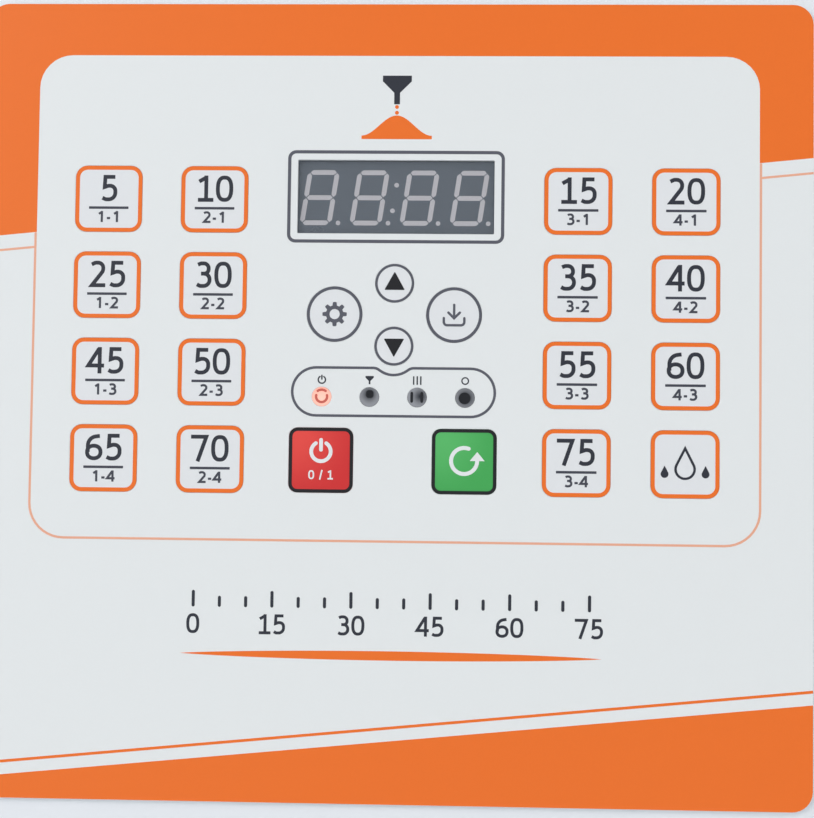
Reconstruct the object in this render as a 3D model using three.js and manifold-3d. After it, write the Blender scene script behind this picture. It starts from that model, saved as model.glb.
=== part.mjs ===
// Powder dispenser: a bench-top machine that doses drink powder with an auger, one key for each dose.
// Millimetres, +Z up, the keypad faces -Y, and the origin lies on the bench under the middle of the body.
import * as THREE from 'three';
import { mergeVertices } from 'three/addons/utils/BufferGeometryUtils.js';
import Module from 'manifold-3d';

const wasm = await Module();
wasm.setup();

// Clearances
const gap = 0.3; // between neighbours that rest on, or pass through, each other
const overrun = 1; // how far a cutter passes the faces that it cuts

// Keys: a stiff zone of the film with the plunger of its switch behind it
const keyPad = { thickness: 0.6, sideGap: 0.3, travel: 0.4 };
const doseKey = { size: 17.2, cornerRadius: 3, firstColumn: 46.41, columnPitch: 27.28, rowPitch: 22.166 };
const doseStep = 5; // grams more on each next key
const largeRoundKey = { radius: 7.05, across: 15.2, up: 4 };
const smallRoundKey = { radius: 4.925, upper: 12, lower: -4.05 };
const runKey = { width: 16.3, height: 16.45, cornerRadius: 2.2, across: 18.15, up: -33.2 };
const plunger = { radius: 1.7, intoSwitch: 1.2 };

// Printed film round the keys: how far it reaches from the outer columns and from the middle of the rows,
// and the body left bare round it
const film = { besideKeys: 32.11, aboveGrid: 84, belowGrid: 119.5, thickness: 1.2, cornerRadius: 5.3 };
const bareEdge = { side: 9.2, below: 6.5, above: 6 };
const outerColumn = doseKey.firstColumn + doseKey.columnPitch;
const filmWidth = 2 * (outerColumn + film.besideKeys);
const filmHeight = film.aboveGrid + film.belowGrid;

// Housing of folded steel sheet
const bodyWidth = filmWidth + 2 * bareEdge.side;
const bodyDepth = 370;
const baseHeight = 46;
const bayHeight = 248;
const headHeight = bareEdge.below + filmHeight + bareEdge.above;
const bayDepth = 195; // from the face of the film back to the column
const shellSheet = 1.2;
const fasciaSheet = 1.5;
const baseSheet = 1.5;
const foot = { radius: 15, tipRadius: 12.5, height: 12, inset: 26 };
const louvre = { length: 120, height: 4, pitch: 11, count: 9, topBelowDeck: 46 };

// Control board behind the fascia
const board = { besideKeys: 20.31, aboveGrid: 64, belowGrid: 60, thickness: 1.6 };
const tactSwitch = { size: 6, height: 4.5, roomBelowPlunger: 0.8 };
const display = { width: 50.3, height: 19, depth: 8, up: 34.1 };
const lamp = { radius: 2.5, firstAcross: 6.05, pitch: 12.15, up: -17.05 };
const standoff = { radius: 3, inset: 6 };

// Hopper and its neck above the top deck
const hopper = {
  width: 182, behindFascia: 32, wall: 1.2, neckRise: 8, flange: 8,
  shoulderBelowDeck: 82, throatSetback: 76, throatAboveAuger: 36,
};

// Auger line
const augerAboveHeadFloor = 38;
const auger = { radius: 21, clearance: 1, shaftRadius: 6, pitch: 30, flightThickness: 3, intoGearbox: 18 };
const chute = { wall: 2, length: 42, flange: 8, spoutRadius: 17, spoutSetback: 21, spoutBelowFloor: 14 };
const nozzle = { tipRadius: 16, wall: 2.2, length: 41, tipBore: 12.5, flange: 5 };
const bush = { flange: 4, flangeThickness: 2, wall: 2.5 };

// Gears behind the hopper
const gearModule = 3;
const pinionTeeth = 14;
const agitatorTeeth = 26;
const gear = { width: 10, pressureAngle: 20, addendumShare: 0.75, dedendumShare: 1.2, backlash: 0.5 };
const gearFromWall = 3;

// Agitator
const agitator = { shaftRadius: 5, reach: 34, rodRadius: 2.5, rodPitch: 38, rods: 3, tip: 12 };

// Drive
const gearbox = { width: 60, height: 60, depth: 40 };
const motor = { radius: 30, length: 52, bossRadius: 9, bossLength: 4, roomBehind: 1.4 };
const bracket = { width: 92, height: 96, thickness: 3, footDepth: 46 };
const bracketFromHopper = 20;

// Sensor for low powder, in the rear wall of the hopper
const sensor = {
  radius: 9, fromHopperSide: 27, aboveAuger: 86, inside: 8, outside: 36, nutRadius: 14, nutThickness: 4, nutSides: 6,
};

// Lid on a hinge behind the neck
const lid = {
  margin: 4, wall: 3, cornerRadius: 14, aboveFlange: 0.6, lipWidth: 72, lipDepth: 11, lipThickness: 4,
};
const gasket = { width: 7, thickness: 2 };
const hinge = {
  barrelRadius: 5, pinRadius: 2, barrelLength: 14, spread: 52, leaf: 16, leafThickness: 2, setback: 8,
};

// Tray and grille in the base
const tray = {
  sideMargin: 19.8, frontMargin: 22.3, backMargin: 14, height: 30, wall: 1.2, rim: 6, cornerRadius: 10,
};
const grille = { thickness: 1.5, slotWidth: 5, slotPitch: 13, bridge: 10, border: 12, edge: 2 };

// Mains parts
const supply = { width: 99, depth: 38, height: 199, belowHead: 29 };
const inlet = {
  width: 27, height: 47, depth: 30, flangeWidth: 50, flangeHeight: 58, flangeThickness: 2.5,
  aboveBase: 78, socketWidth: 24, socketHeight: 16.5, socketDepth: 17, socketUp: -13,
};
const rocker = { width: 20, height: 13, depth: 7, tilt: 9, up: 14, proud: 2.1, pocketDepth: 12 };

// Levels and planes worked out from the sizes above
const baseBottom = foot.height;
const baseTop = baseBottom + baseHeight;
const headBottom = baseTop + bayHeight;
const headTop = headBottom + headHeight;
const shellBottom = baseBottom + baseSheet + gap;
const shellTop = headTop - shellSheet - gap;
const filmFront = -bodyDepth / 2;
const filmBack = filmFront + film.thickness;
const fasciaFront = filmBack + gap;
const fasciaBack = fasciaFront + fasciaSheet;
const sideFront = fasciaBack + gap;
const inletBack = bodyDepth / 2;
const coverBack = inletBack - inlet.flangeThickness - gap;
const coverFront = coverBack - shellSheet;
const sideBack = coverFront - gap;
const columnFront = filmFront + bayDepth;
const columnInside = columnFront + shellSheet;
const sideInside = bodyWidth / 2 - shellSheet;
const innerHalf = sideInside - gap;
const keyGridUp = headBottom + bareEdge.below + film.belowGrid;
const filmMiddle = keyGridUp + (film.aboveGrid - film.belowGrid) / 2;
const boardHalf = outerColumn + board.besideKeys;
const boardFront = fasciaFront + display.depth + gap;
const boardBack = boardFront + board.thickness;
const switchFront = boardFront - tactSwitch.height;
const augerUp = headBottom + augerAboveHeadFloor;
const troughRadius = auger.radius + auger.clearance;
const agitatorUp = augerUp + gearModule * (pinionTeeth + agitatorTeeth) / 2;
const hopperFront = fasciaBack + hopper.behindFascia;
const driveLength = bracketFromHopper + bracket.thickness + gap + gearbox.depth + gap
  + motor.length + motor.bossLength;
const hopperBack = coverFront - motor.roomBehind - driveLength;
const throatFront = hopperFront + hopper.throatSetback;
const sensorAcross = hopper.width / 2 - sensor.fromHopperSide;
const neckTop = headTop + hopper.neckRise;
const flangeTop = headTop + gap + hopper.wall;
const chuteFront = throatFront - gap - chute.length;
const spoutAt = chuteFront + chute.spoutSetback;
const spoutBottom = headBottom - chute.spoutBelowFloor;
const gearFront = hopperBack + gearFromWall;
const bracketFront = hopperBack + bracketFromHopper;
const gearboxFront = bracketFront + bracket.thickness + gap;
const gearboxBack = gearboxFront + gearbox.depth;
const lidUnderside = neckTop + gap + gasket.thickness + gap;
const lidTop = lidUnderside + lid.wall;
const lidHalf = hopper.width / 2 + hopper.flange + lid.margin + lid.wall;
const lidFront = hopperFront - hopper.flange - lid.margin - lid.wall;
const lidBack = hopperBack + hopper.flange + lid.margin + lid.wall;
const hingeAt = lidBack + hinge.setback;
const hingeLeafTop = headTop + gap + hinge.leafThickness;
const hingeUp = hingeLeafTop + gap + hinge.barrelRadius;
const trayWidth = 2 * (innerHalf - tray.sideMargin);
const trayFront = sideFront + tray.frontMargin;
const trayBack = columnFront - tray.backMargin;
const trayDepth = trayBack - trayFront;
const trayMiddle = (trayFront + trayBack) / 2;
const trayRimTop = baseTop + gap + tray.wall;
const inletUp = baseBottom + inlet.aboveBase;

// Finishes
const finish = (color, roughness, metalness = 0) =>
  new THREE.MeshStandardMaterial({ color, roughness, metalness });
const paint = finish(0xe4e8ed, 0.45);
const printedFilm = finish(0xe6ebee, 0.35);
const orangeFilm = finish(0xed7633, 0.35);
const redFilm = finish(0xd4302f, 0.35);
const greenFilm = finish(0x43a84a, 0.35);
const stainless = finish(0xb9bbbd, 0.3, 1);
const zincedSteel = finish(0xa9adb0, 0.45, 1);
const rubber = finish(0x202124, 0.85);
const blackPlastic = finish(0x1b1c1e, 0.5);
const whitePlastic = finish(0xeceeee, 0.4);
const silicone = finish(0xd9dad6, 0.7);
const smokedClear = finish(0x5a5f66, 0.15);
const circuitBoard = finish(0x1f5a3a, 0.5);
const displayFace = finish(0x5c636e, 0.3);
const aluminium = finish(0xc3c6c9, 0.4, 1);

// Rounding of curves, in straight sides for a full turn
const coarse = 8;
const medium = 16;
const fine = 24;

// A closed solid of a three.js geometry
function solid(geometry) {
  const plain = geometry.index ? geometry.toNonIndexed() : geometry.clone();
  plain.deleteAttribute('normal');
  plain.deleteAttribute('uv');
  const merged = mergeVertices(plain);
  return new wasm.Manifold(new wasm.Mesh({
    numProp: 3,
    vertProperties: merged.attributes.position.array,
    triVerts: new Uint32Array(merged.index.array),
  }));
}

// The three.js geometry of a solid, with flat faces
function geometryOf(body) {
  const mesh = body.getMesh();
  const shared = new THREE.BufferGeometry();
  shared.setAttribute('position', new THREE.BufferAttribute(new Float32Array(mesh.vertProperties), 3));
  shared.setIndex(new THREE.BufferAttribute(new Uint32Array(mesh.triVerts), 1));
  const faceted = shared.toNonIndexed();
  faceted.computeVertexNormals();
  return faceted;
}

const joined = (bodies) => bodies.reduce((whole, next) => whole.add(next));
const without = (body, cuts) => cuts.reduce((left, cut) => left.subtract(cut), body);

// A block between two limits on each axis
function block([x0, x1], [y0, y1], [z0, z1]) {
  const shape = new THREE.BoxGeometry(x1 - x0, y1 - y0, z1 - z0);
  return solid(shape.translate((x0 + x1) / 2, (y0 + y1) / 2, (z0 + z1) / 2));
}

// Axes of a profile drawn flat and then extruded: its x, its y, and the way that it is extruded
const alongX = new THREE.Matrix4().makeBasis(
  new THREE.Vector3(0, 1, 0), new THREE.Vector3(0, 0, 1), new THREE.Vector3(1, 0, 0));
const alongY = new THREE.Matrix4().makeBasis(
  new THREE.Vector3(1, 0, 0), new THREE.Vector3(0, 0, 1), new THREE.Vector3(0, -1, 0));

// Profiles extruded along an axis between two limits: (Y, Z) along X, (X, Z) along Y, (X, Y) along Z
const swept = (shape, depth) => new THREE.ExtrudeGeometry(shape, { depth, bevelEnabled: false });
const extrudeX = (shape, [x0, x1]) => solid(swept(shape, x1 - x0).applyMatrix4(alongX).translate(x0, 0, 0));
const extrudeY = (shape, [y0, y1]) => solid(swept(shape, y1 - y0).applyMatrix4(alongY).translate(0, y1, 0));
const extrudeZ = (shape, [z0, z1]) => solid(swept(shape, z1 - z0).translate(0, 0, z0));

// Round bars along an axis, at the two other coordinates
function rod(radius, length, sides) {
  return new THREE.CylinderGeometry(radius, radius, length, sides);
}
const rodX = (radius, [x0, x1], y, z, sides = medium) =>
  solid(rod(radius, x1 - x0, sides).rotateZ(Math.PI / 2).translate((x0 + x1) / 2, y, z));
const rodY = (radius, [y0, y1], x, z, sides = medium) =>
  solid(rod(radius, y1 - y0, sides).translate(x, (y0 + y1) / 2, z));
const rodZ = (radius, [z0, z1], x, y, sides = medium) =>
  solid(rod(radius, z1 - z0, sides).rotateX(Math.PI / 2).translate(x, y, (z0 + z1) / 2));

// A turned body on the Z axis from (radius, height) pairs that run round the section
function turned(pairs, sides = medium) {
  const profile = pairs.map(([radius, height]) => new THREE.Vector2(radius, height));
  return solid(new THREE.LatheGeometry(profile, sides).rotateX(Math.PI / 2));
}

// Points of an arc with both its ends, a full turn having the given number of sides
function arc(x, y, radius, from, to, sides) {
  const steps = Math.max(1, Math.round(Math.abs(to - from) / (Math.PI * 2) * sides));
  return Array.from({ length: steps + 1 }, (_, step) => {
    const angle = from + (to - from) * step / steps;
    return new THREE.Vector2(x + radius * Math.cos(angle), y + radius * Math.sin(angle));
  });
}

// A closed outline, without points that repeat the one before
function outline(points) {
  return new THREE.Shape(points.filter((point, place) => point.distanceTo(points.at(place - 1)) > gap / 100));
}

// A rectangle with round corners about its middle
function roundedRectangle(width, height, radius, x = 0, y = 0, sides = coarse) {
  const [left, right] = [x - width / 2 + radius, x + width / 2 - radius];
  const [low, high] = [y - height / 2 + radius, y + height / 2 - radius];
  const corners = [[right, low], [right, high], [left, high], [left, low]];
  const quarter = Math.PI / 2;
  return outline(corners.flatMap(([cornerX, cornerY], turn) =>
    arc(cornerX, cornerY, radius, (turn - 1) * quarter, turn * quarter, sides)));
}

const circle = (radius, sides = medium) => outline(arc(0, 0, radius, 0, Math.PI * 2, sides));
const polygon = (points) => new THREE.Shape(points.map(([x, y]) => new THREE.Vector2(x, y)));
const mirrored = (half) => [-half, half];

const machine = new THREE.Group();

function addPiece(name, body, material) {
  const mesh = new THREE.Mesh(geometryOf(body), material);
  mesh.name = name;
  machine.add(mesh);
  return mesh;
}

// Feet, base plate and the two C-shaped side panels
function addFoot(name, x, y) {
  const tread = [[0, 0], [foot.tipRadius, 0], [foot.radius, foot.height - gap], [0, foot.height - gap]];
  const mesh = addPiece(name, turned(tread), rubber);
  mesh.position.set(x, y, 0);
}

function addFeet() {
  const across = bodyWidth / 2 - foot.inset;
  const along = bodyDepth / 2 - foot.inset;
  for (const [end, y] of [['front', -along], ['rear', along]]) {
    for (const [side, x] of [['left', -across], ['right', across]]) {
      addFoot(`foot_${end}_${side}`, x, y);
    }
  }
}

function basePlate() {
  return block(mirrored(bodyWidth / 2), [fasciaFront, coverBack], [baseBottom, baseBottom + baseSheet]);
}

function sidePanel(sheetLimits) {
  return extrudeX(polygon([
    [sideFront, shellBottom], [sideBack, shellBottom], [sideBack, shellTop], [sideFront, shellTop],
    [sideFront, headBottom], [columnFront, headBottom], [columnFront, baseTop], [sideFront, baseTop],
  ]), sheetLimits);
}

// Deck of the base, folded down at its front, with the well for the tray
function baseDeck() {
  const deck = block(mirrored(innerHalf), [sideFront, columnInside], [baseTop - shellSheet, baseTop]);
  const front = block(mirrored(bodyWidth / 2), [fasciaFront, fasciaBack], [shellBottom, baseTop]);
  const fold = block(mirrored(innerHalf), [fasciaBack - fasciaSheet / 2, sideFront + shellSheet],
    [baseTop - shellSheet, baseTop]);
  const wellWidth = trayWidth + 2 * gap;
  const wellDepth = trayDepth + 2 * gap;
  const well = extrudeZ(roundedRectangle(wellWidth, wellDepth, tray.cornerRadius + gap, 0, trayMiddle),
    [baseTop - shellSheet - overrun, baseTop + overrun]);
  return joined([deck, fold, front]).subtract(well);
}

function columnFrontPanel() {
  return block(mirrored(innerHalf), [columnFront, columnInside], [baseTop + gap, headBottom - gap]);
}

// Floor of the head, over its whole depth, with the hole that the spout passes through
function headFloor() {
  const floor = block(mirrored(innerHalf), [sideFront, sideBack], [headBottom, headBottom + shellSheet]);
  const cutLimits = [headBottom - overrun, headBottom + shellSheet + overrun];
  const hole = rodZ(chute.spoutRadius + gap, cutLimits, 0, spoutAt);
  return floor.subtract(hole);
}

// Top deck with the opening that the hopper hangs in
function topDeck() {
  const limits = [headTop - shellSheet, headTop];
  const deck = block(mirrored(bodyWidth / 2), [fasciaFront, coverBack], limits);
  const cutLimits = [limits[0] - overrun, limits[1] + overrun];
  const opening = block(mirrored(hopper.width / 2 + gap), [hopperFront - gap, hopperBack + gap], cutLimits);
  return deck.subtract(opening);
}

// Back cover with rows of louvres and the cut-out of the inlet
function backCover() {
  const cover = block(mirrored(bodyWidth / 2), [coverFront, coverBack], [shellBottom, shellTop]);
  const cutLimits = [coverFront - overrun, coverBack + overrun];
  const slot = roundedRectangle(louvre.length, louvre.height, louvre.height / 2);
  const slots = Array.from({ length: louvre.count }, (_, row) =>
    extrudeY(slot, cutLimits).translate(0, 0, headTop - louvre.topBelowDeck - row * louvre.pitch));
  const inletHole = block(mirrored(inlet.width / 2 + gap), cutLimits,
    [inletUp - inlet.height / 2 - gap, inletUp + inlet.height / 2 + gap]);
  return without(cover, [...slots, inletHole]);
}

// Every key of the keypad: its outline about its own middle, where it lies, and its film colour
function keypad() {
  const dosePad = roundedRectangle(doseKey.size, doseKey.size, doseKey.cornerRadius);
  const runPad = roundedRectangle(runKey.width, runKey.height, runKey.cornerRadius);
  const columns = [-outerColumn, -doseKey.firstColumn, doseKey.firstColumn, outerColumn];
  const rowMiddle = (columns.length - 1) / 2;
  const keys = [];
  for (const row of columns.keys()) {
    for (const [column, x] of columns.entries()) {
      const grams = doseStep * (row * columns.length + column + 1);
      const last = grams === doseStep * columns.length ** 2;
      const name = last ? 'clean_key' : `dose_key_${grams}`;
      keys.push({ name, pad: dosePad, x, up: (rowMiddle - row) * doseKey.rowPitch, material: printedFilm });
    }
  }
  const largePad = circle(largeRoundKey.radius);
  const smallPad = circle(smallRoundKey.radius);
  keys.push(
    { name: 'set_key', pad: largePad, x: -largeRoundKey.across, up: largeRoundKey.up, material: printedFilm },
    { name: 'save_key', pad: largePad, x: largeRoundKey.across, up: largeRoundKey.up, material: printedFilm },
    { name: 'up_key', pad: smallPad, x: 0, up: smallRoundKey.upper, material: printedFilm },
    { name: 'down_key', pad: smallPad, x: 0, up: smallRoundKey.lower, material: printedFilm },
    { name: 'power_key', pad: runPad, x: -runKey.across, up: runKey.up, material: redFilm },
    { name: 'continuous_key', pad: runPad, x: runKey.across, up: runKey.up, material: greenFilm },
  );
  return keys;
}

// The outline of a key's pad, larger all round by a margin
function padOpening(pad, margin) {
  const points = pad.getPoints();
  const size = new THREE.Box2().setFromPoints(points).getSize(new THREE.Vector2());
  const grow = 1 + 2 * margin / Math.min(size.x, size.y);
  return new THREE.Shape(points.map((point) => point.clone().multiplyScalar(grow)));
}

function addKeys(keys) {
  const padLimits = [filmFront, filmFront + keyPad.thickness];
  const plungerLimits = [padLimits[1] - keyPad.thickness / 2, switchFront + plunger.intoSwitch];
  for (const key of keys) {
    const pad = extrudeY(key.pad, padLimits);
    const body = pad.add(rodY(plunger.radius, plungerLimits, 0, 0, coarse));
    const mesh = addPiece(key.name, body, key.material);
    mesh.position.set(key.x, 0, keyGridUp + key.up);
  }
}

function overlayFilm(keys) {
  const sheet = extrudeY(roundedRectangle(filmWidth, filmHeight, film.cornerRadius, 0, filmMiddle),
    [filmFront, filmBack]);
  const cutLimits = [filmFront - overrun, filmBack + overrun];
  const openings = keys.map((key) =>
    extrudeY(padOpening(key.pad, keyPad.sideGap), cutLimits).translate(key.x, 0, keyGridUp + key.up));
  return without(sheet, openings);
}

const lampPlaces = () => [0, 1].flatMap((step) => mirrored(lamp.firstAcross + step * lamp.pitch));
const standoffPlaces = () => mirrored(boardHalf - standoff.inset).flatMap((x) =>
  [standoff.inset - board.belowGrid, board.aboveGrid - standoff.inset].map((up) => [x, keyGridUp + up]));

// Front plate of the head, with holes for plungers, lamps and display, and the studs of the board
function fasciaPlate(keys) {
  const plate = block(mirrored(bodyWidth / 2), [fasciaFront, fasciaBack], [headBottom, shellTop]);
  const cutLimits = [fasciaFront - overrun, fasciaBack + overrun];
  const holes = keys.map((key) =>
    rodY(plunger.radius + 2 * gap, cutLimits, key.x, keyGridUp + key.up, coarse));
  const lampHoles = lampPlaces().map((x) =>
    rodY(lamp.radius + gap, cutLimits, x, keyGridUp + lamp.up, coarse));
  const displayUp = keyGridUp + display.up;
  const window = block(mirrored(display.width / 2 + gap), cutLimits,
    [displayUp - display.height / 2 - gap, displayUp + display.height / 2 + gap]);
  const studs = standoffPlaces().map(([x, up]) =>
    rodY(standoff.radius, [fasciaBack - fasciaSheet / 2, boardFront - gap], x, up, coarse));
  return without(joined([plate, ...studs]), [...holes, ...lampHoles, window]);
}

// Control board with its switches and lamps soldered on
function controlBoard(keys) {
  const sheet = block(mirrored(boardHalf), [boardFront, boardBack],
    [keyGridUp - board.belowGrid, keyGridUp + board.aboveGrid]);
  const half = tactSwitch.size / 2;
  const solder = board.thickness / 2;
  const boreDepth = plunger.intoSwitch + keyPad.travel + tactSwitch.roomBelowPlunger;
  const switches = keys.map((key) => block([key.x - half, key.x + half], [switchFront, boardFront + solder],
    [keyGridUp + key.up - half, keyGridUp + key.up + half]));
  const bores = keys.map((key) => rodY(plunger.radius + gap,
    [switchFront - overrun, switchFront + boreDepth], key.x, keyGridUp + key.up, coarse));
  const lamps = lampPlaces().map((x) =>
    rodY(lamp.radius, [fasciaFront, boardFront + solder], x, keyGridUp + lamp.up, coarse));
  return without(joined([sheet, ...switches, ...lamps]), bores);
}

function displayModule() {
  const up = keyGridUp + display.up;
  return block(mirrored(display.width / 2), [fasciaFront, fasciaFront + display.depth],
    [up - display.height / 2, up + display.height / 2]);
}

// The bin of the hopper as a full body: two profiles, from the front and from the side, that meet
function binBody(inset, top) {
  const half = hopper.width / 2 - inset;
  const bottomRadius = troughRadius + hopper.wall - inset;
  const shoulder = headTop - hopper.shoulderBelowDeck;
  const section = outline([
    new THREE.Vector2(half, top), new THREE.Vector2(-half, top), new THREE.Vector2(-half, shoulder),
    ...arc(0, augerUp, bottomRadius, Math.PI, Math.PI * 2, fine), new THREE.Vector2(half, shoulder),
  ]);
  const front = hopperFront + inset;
  const throat = throatFront + inset;
  const back = hopperBack - inset;
  const low = augerUp - bottomRadius - overrun;
  const side = polygon([
    [throat, low], [back, low], [back, top + overrun], [front, top + overrun],
    [front, shoulder], [throat, augerUp + hopper.throatAboveAuger],
  ]);
  return extrudeY(section, [front - overrun, back + overrun]).intersect(
    extrudeX(side, mirrored(half + overrun)));
}

function powderHopper() {
  const flangeLimits = [headTop + gap, flangeTop];
  const flange = block(mirrored(hopper.width / 2 + hopper.flange),
    [hopperFront - hopper.flange, hopperBack + hopper.flange], flangeLimits);
  const outside = binBody(0, neckTop).add(flange);
  const wallFront = [throatFront - overrun, throatFront + hopper.wall + overrun];
  const wallBack = [hopperBack - hopper.wall - overrun, hopperBack + overrun];
  const throat = rodY(troughRadius, wallFront, 0, augerUp);
  const augerHole = rodY(bushHoleRadius(auger.shaftRadius), wallBack, 0, augerUp);
  const agitatorHole = rodY(bushHoleRadius(agitator.shaftRadius), wallBack, 0, agitatorUp);
  const sensorHole = rodY(sensor.radius + gap, wallBack, sensorAcross, augerUp + sensor.aboveAuger);
  const inside = binBody(hopper.wall, neckTop + overrun);
  return without(outside, [inside, throat, augerHole, agitatorHole, sensorHole]);
}

// Flanged bush in the rear wall of the hopper, round a shaft
const bushRadius = (shaftRadius) => shaftRadius + gap + bush.wall;
const bushHoleRadius = (shaftRadius) => bushRadius(shaftRadius) + gap;

function wallBush(shaftRadius, up) {
  const sleeveLimits = [hopperBack - hopper.wall, hopperBack + gap + bush.flangeThickness];
  const flangeLimits = [hopperBack + gap, sleeveLimits[1]];
  const sleeve = rodY(bushRadius(shaftRadius), sleeveLimits, 0, up);
  const flange = rodY(bushRadius(shaftRadius) + bush.flange, flangeLimits, 0, up);
  const bore = rodY(shaftRadius + gap, [sleeveLimits[0] - overrun, sleeveLimits[1] + overrun], 0, up);
  return sleeve.add(flange).subtract(bore);
}

// Closed tube in front of the hopper with the spout that the powder falls through
function outletChute() {
  const back = throatFront - gap;
  const outerRadius = troughRadius + chute.wall;
  const barrel = rodY(outerRadius, [chuteFront, back], 0, augerUp);
  const flange = rodY(outerRadius + chute.flange, [back - chute.wall, back], 0, augerUp);
  const spout = rodZ(chute.spoutRadius, [spoutBottom, augerUp], 0, spoutAt);
  const bore = rodY(troughRadius, [chuteFront + chute.wall, back + overrun], 0, augerUp);
  const fall = rodZ(chute.spoutRadius - chute.wall, [spoutBottom - overrun, augerUp], 0, spoutAt);
  return joined([barrel, flange, spout]).subtract(bore.add(fall));
}

// Nozzle pushed over the end of the spout, under the floor of the head
function addNozzle() {
  const bore = chute.spoutRadius + gap;
  const top = headBottom - gap;
  const bottom = top - nozzle.length;
  const shoulder = spoutBottom - gap;
  const outer = bore + nozzle.wall;
  const mesh = addPiece('nozzle', turned([
    [nozzle.tipBore, bottom], [nozzle.tipRadius, bottom], [outer, shoulder], [outer, top - nozzle.wall],
    [outer + nozzle.flange, top - nozzle.wall], [outer + nozzle.flange, top], [bore, top], [bore, shoulder],
    [nozzle.tipBore, shoulder - nozzle.wall], [nozzle.tipBore, bottom],
  ], fine), whitePlastic);
  mesh.position.y = spoutAt;
}

// Screw: one flight wound round its shaft, as a ribbon with four edges that follows a helix
function augerScrew() {
  const front = chuteFront + chute.wall + auger.clearance;
  const flightLength = hopperBack - hopper.wall - auger.clearance - front;
  const turns = (flightLength - auger.flightThickness) / auger.pitch;
  const steps = Math.floor(turns * medium);
  const inner = auger.shaftRadius / 2;
  const positions = [];
  for (let step = 0; step <= steps; step += 1) {
    const angle = Math.PI * 2 * step / medium;
    const along = front + auger.pitch * step / medium;
    const back = along + auger.flightThickness;
    for (const [radius, y] of [[inner, along], [auger.radius, along], [auger.radius, back], [inner, back]]) {
      positions.push(radius * Math.cos(angle), y, radius * Math.sin(angle));
    }
  }
  const faces = [0, 2, 1, 0, 3, 2];
  for (let step = 0; step < steps; step += 1) {
    for (const edge of [0, 1, 2, 3]) {
      const near = step * 4 + edge;
      const next = step * 4 + (edge + 1) % 4;
      faces.push(near, next, near + 4, next, next + 4, near + 4);
    }
  }
  const last = steps * 4;
  faces.push(last, last + 1, last + 2, last, last + 2, last + 3);
  const ribbon = new THREE.BufferGeometry();
  ribbon.setAttribute('position', new THREE.Float32BufferAttribute(positions, 3));
  ribbon.setIndex(faces);
  const shaftLimits = [front - auger.clearance / 2, gearboxFront + auger.intoGearbox];
  const shaft = rodY(auger.shaftRadius, shaftLimits, 0, 0);
  // Turned by half a facet, so that no edge of the shaft runs along an edge of the flight
  return solid(ribbon).add(shaft.rotate([0, 180 / medium, 0]));
}

// Outline of a spur gear: involute flanks from the root circle to the tip circle
function gearOutline(teeth, bore) {
  const pressure = THREE.MathUtils.degToRad(gear.pressureAngle);
  const pitchRadius = gearModule * teeth / 2;
  const baseRadius = pitchRadius * Math.cos(pressure);
  const tipRadius = pitchRadius + gearModule * gear.addendumShare;
  const rootRadius = pitchRadius - gearModule * gear.dedendumShare;
  const involute = (angle) => Math.tan(angle) - angle;
  const halfThickness = (Math.PI * gearModule / 2 - gear.backlash) / 2 / pitchRadius;
  const halfAngle = (radius) => {
    const reach = Math.max(radius, baseRadius);
    return halfThickness + involute(pressure) - involute(Math.acos(baseRadius / reach));
  };
  const radii = [rootRadius, pitchRadius, tipRadius];
  const points = [];
  for (let tooth = 0; tooth < teeth; tooth += 1) {
    const middle = Math.PI * 2 * tooth / teeth;
    const flank = (radius, side) => {
      const angle = middle + side * halfAngle(radius);
      return new THREE.Vector2(radius * Math.cos(angle), radius * Math.sin(angle));
    };
    points.push(...radii.map((radius) => flank(radius, -1)));
    points.push(...radii.toReversed().map((radius) => flank(radius, 1)));
  }
  const wheel = new THREE.Shape(points);
  wheel.holes.push(circle(bore));
  return wheel;
}

function addTurningParts() {
  const gearLimits = [gearFront + gap, gearFront + gap + gear.width];
  const screw = addPiece('auger_screw', augerScrew(), stainless);
  screw.position.z = augerUp;
  const pinion = extrudeY(gearOutline(pinionTeeth, auger.shaftRadius + gap), gearLimits);
  const pinionMesh = addPiece('auger_pinion', pinion, whitePlastic);
  pinionMesh.position.z = augerUp;
  // A tooth of the pinion points straight up, so a gap of the larger gear has to point straight down
  pinionMesh.rotation.y = Math.PI / 2;
  const wheel = extrudeY(gearOutline(agitatorTeeth, agitator.shaftRadius + gap), gearLimits);
  const wheelMesh = addPiece('agitator_gear', wheel, whitePlastic);
  wheelMesh.position.z = agitatorUp;
  wheelMesh.rotation.y = Math.PI / 2 + Math.PI / agitatorTeeth;
  const stirrer = addPiece('agitator', agitatorBody(gearLimits[1]), stainless);
  stirrer.position.z = agitatorUp;
}

// Agitator: a shaft with cross rods, each turned on from the last
function agitatorBody(gearBack) {
  const back = hopperBack - hopper.wall - agitator.rodPitch / 2;
  const front = back - agitator.rodPitch * (agitator.rods - 1) - agitator.tip;
  const shaft = rodY(agitator.shaftRadius, [front, gearBack + gap], 0, 0, coarse);
  const rods = Array.from({ length: agitator.rods }, (_, place) => {
    const across = rodX(agitator.rodRadius, mirrored(agitator.reach), 0, 0, coarse);
    const turn = 180 * place / agitator.rods;
    return across.rotate([0, turn, 0]).translate(0, back - place * agitator.rodPitch, 0);
  });
  return joined([shaft, ...rods]);
}

function gearboxBody() {
  const body = block(mirrored(gearbox.width / 2), [gearboxFront, gearboxBack],
    [augerUp - gearbox.height / 2, augerUp + gearbox.height / 2]);
  const socketEnd = gearboxFront + auger.intoGearbox + gap;
  return body.subtract(rodY(auger.shaftRadius + gap, [gearboxFront - overrun, socketEnd], 0, augerUp));
}

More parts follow.
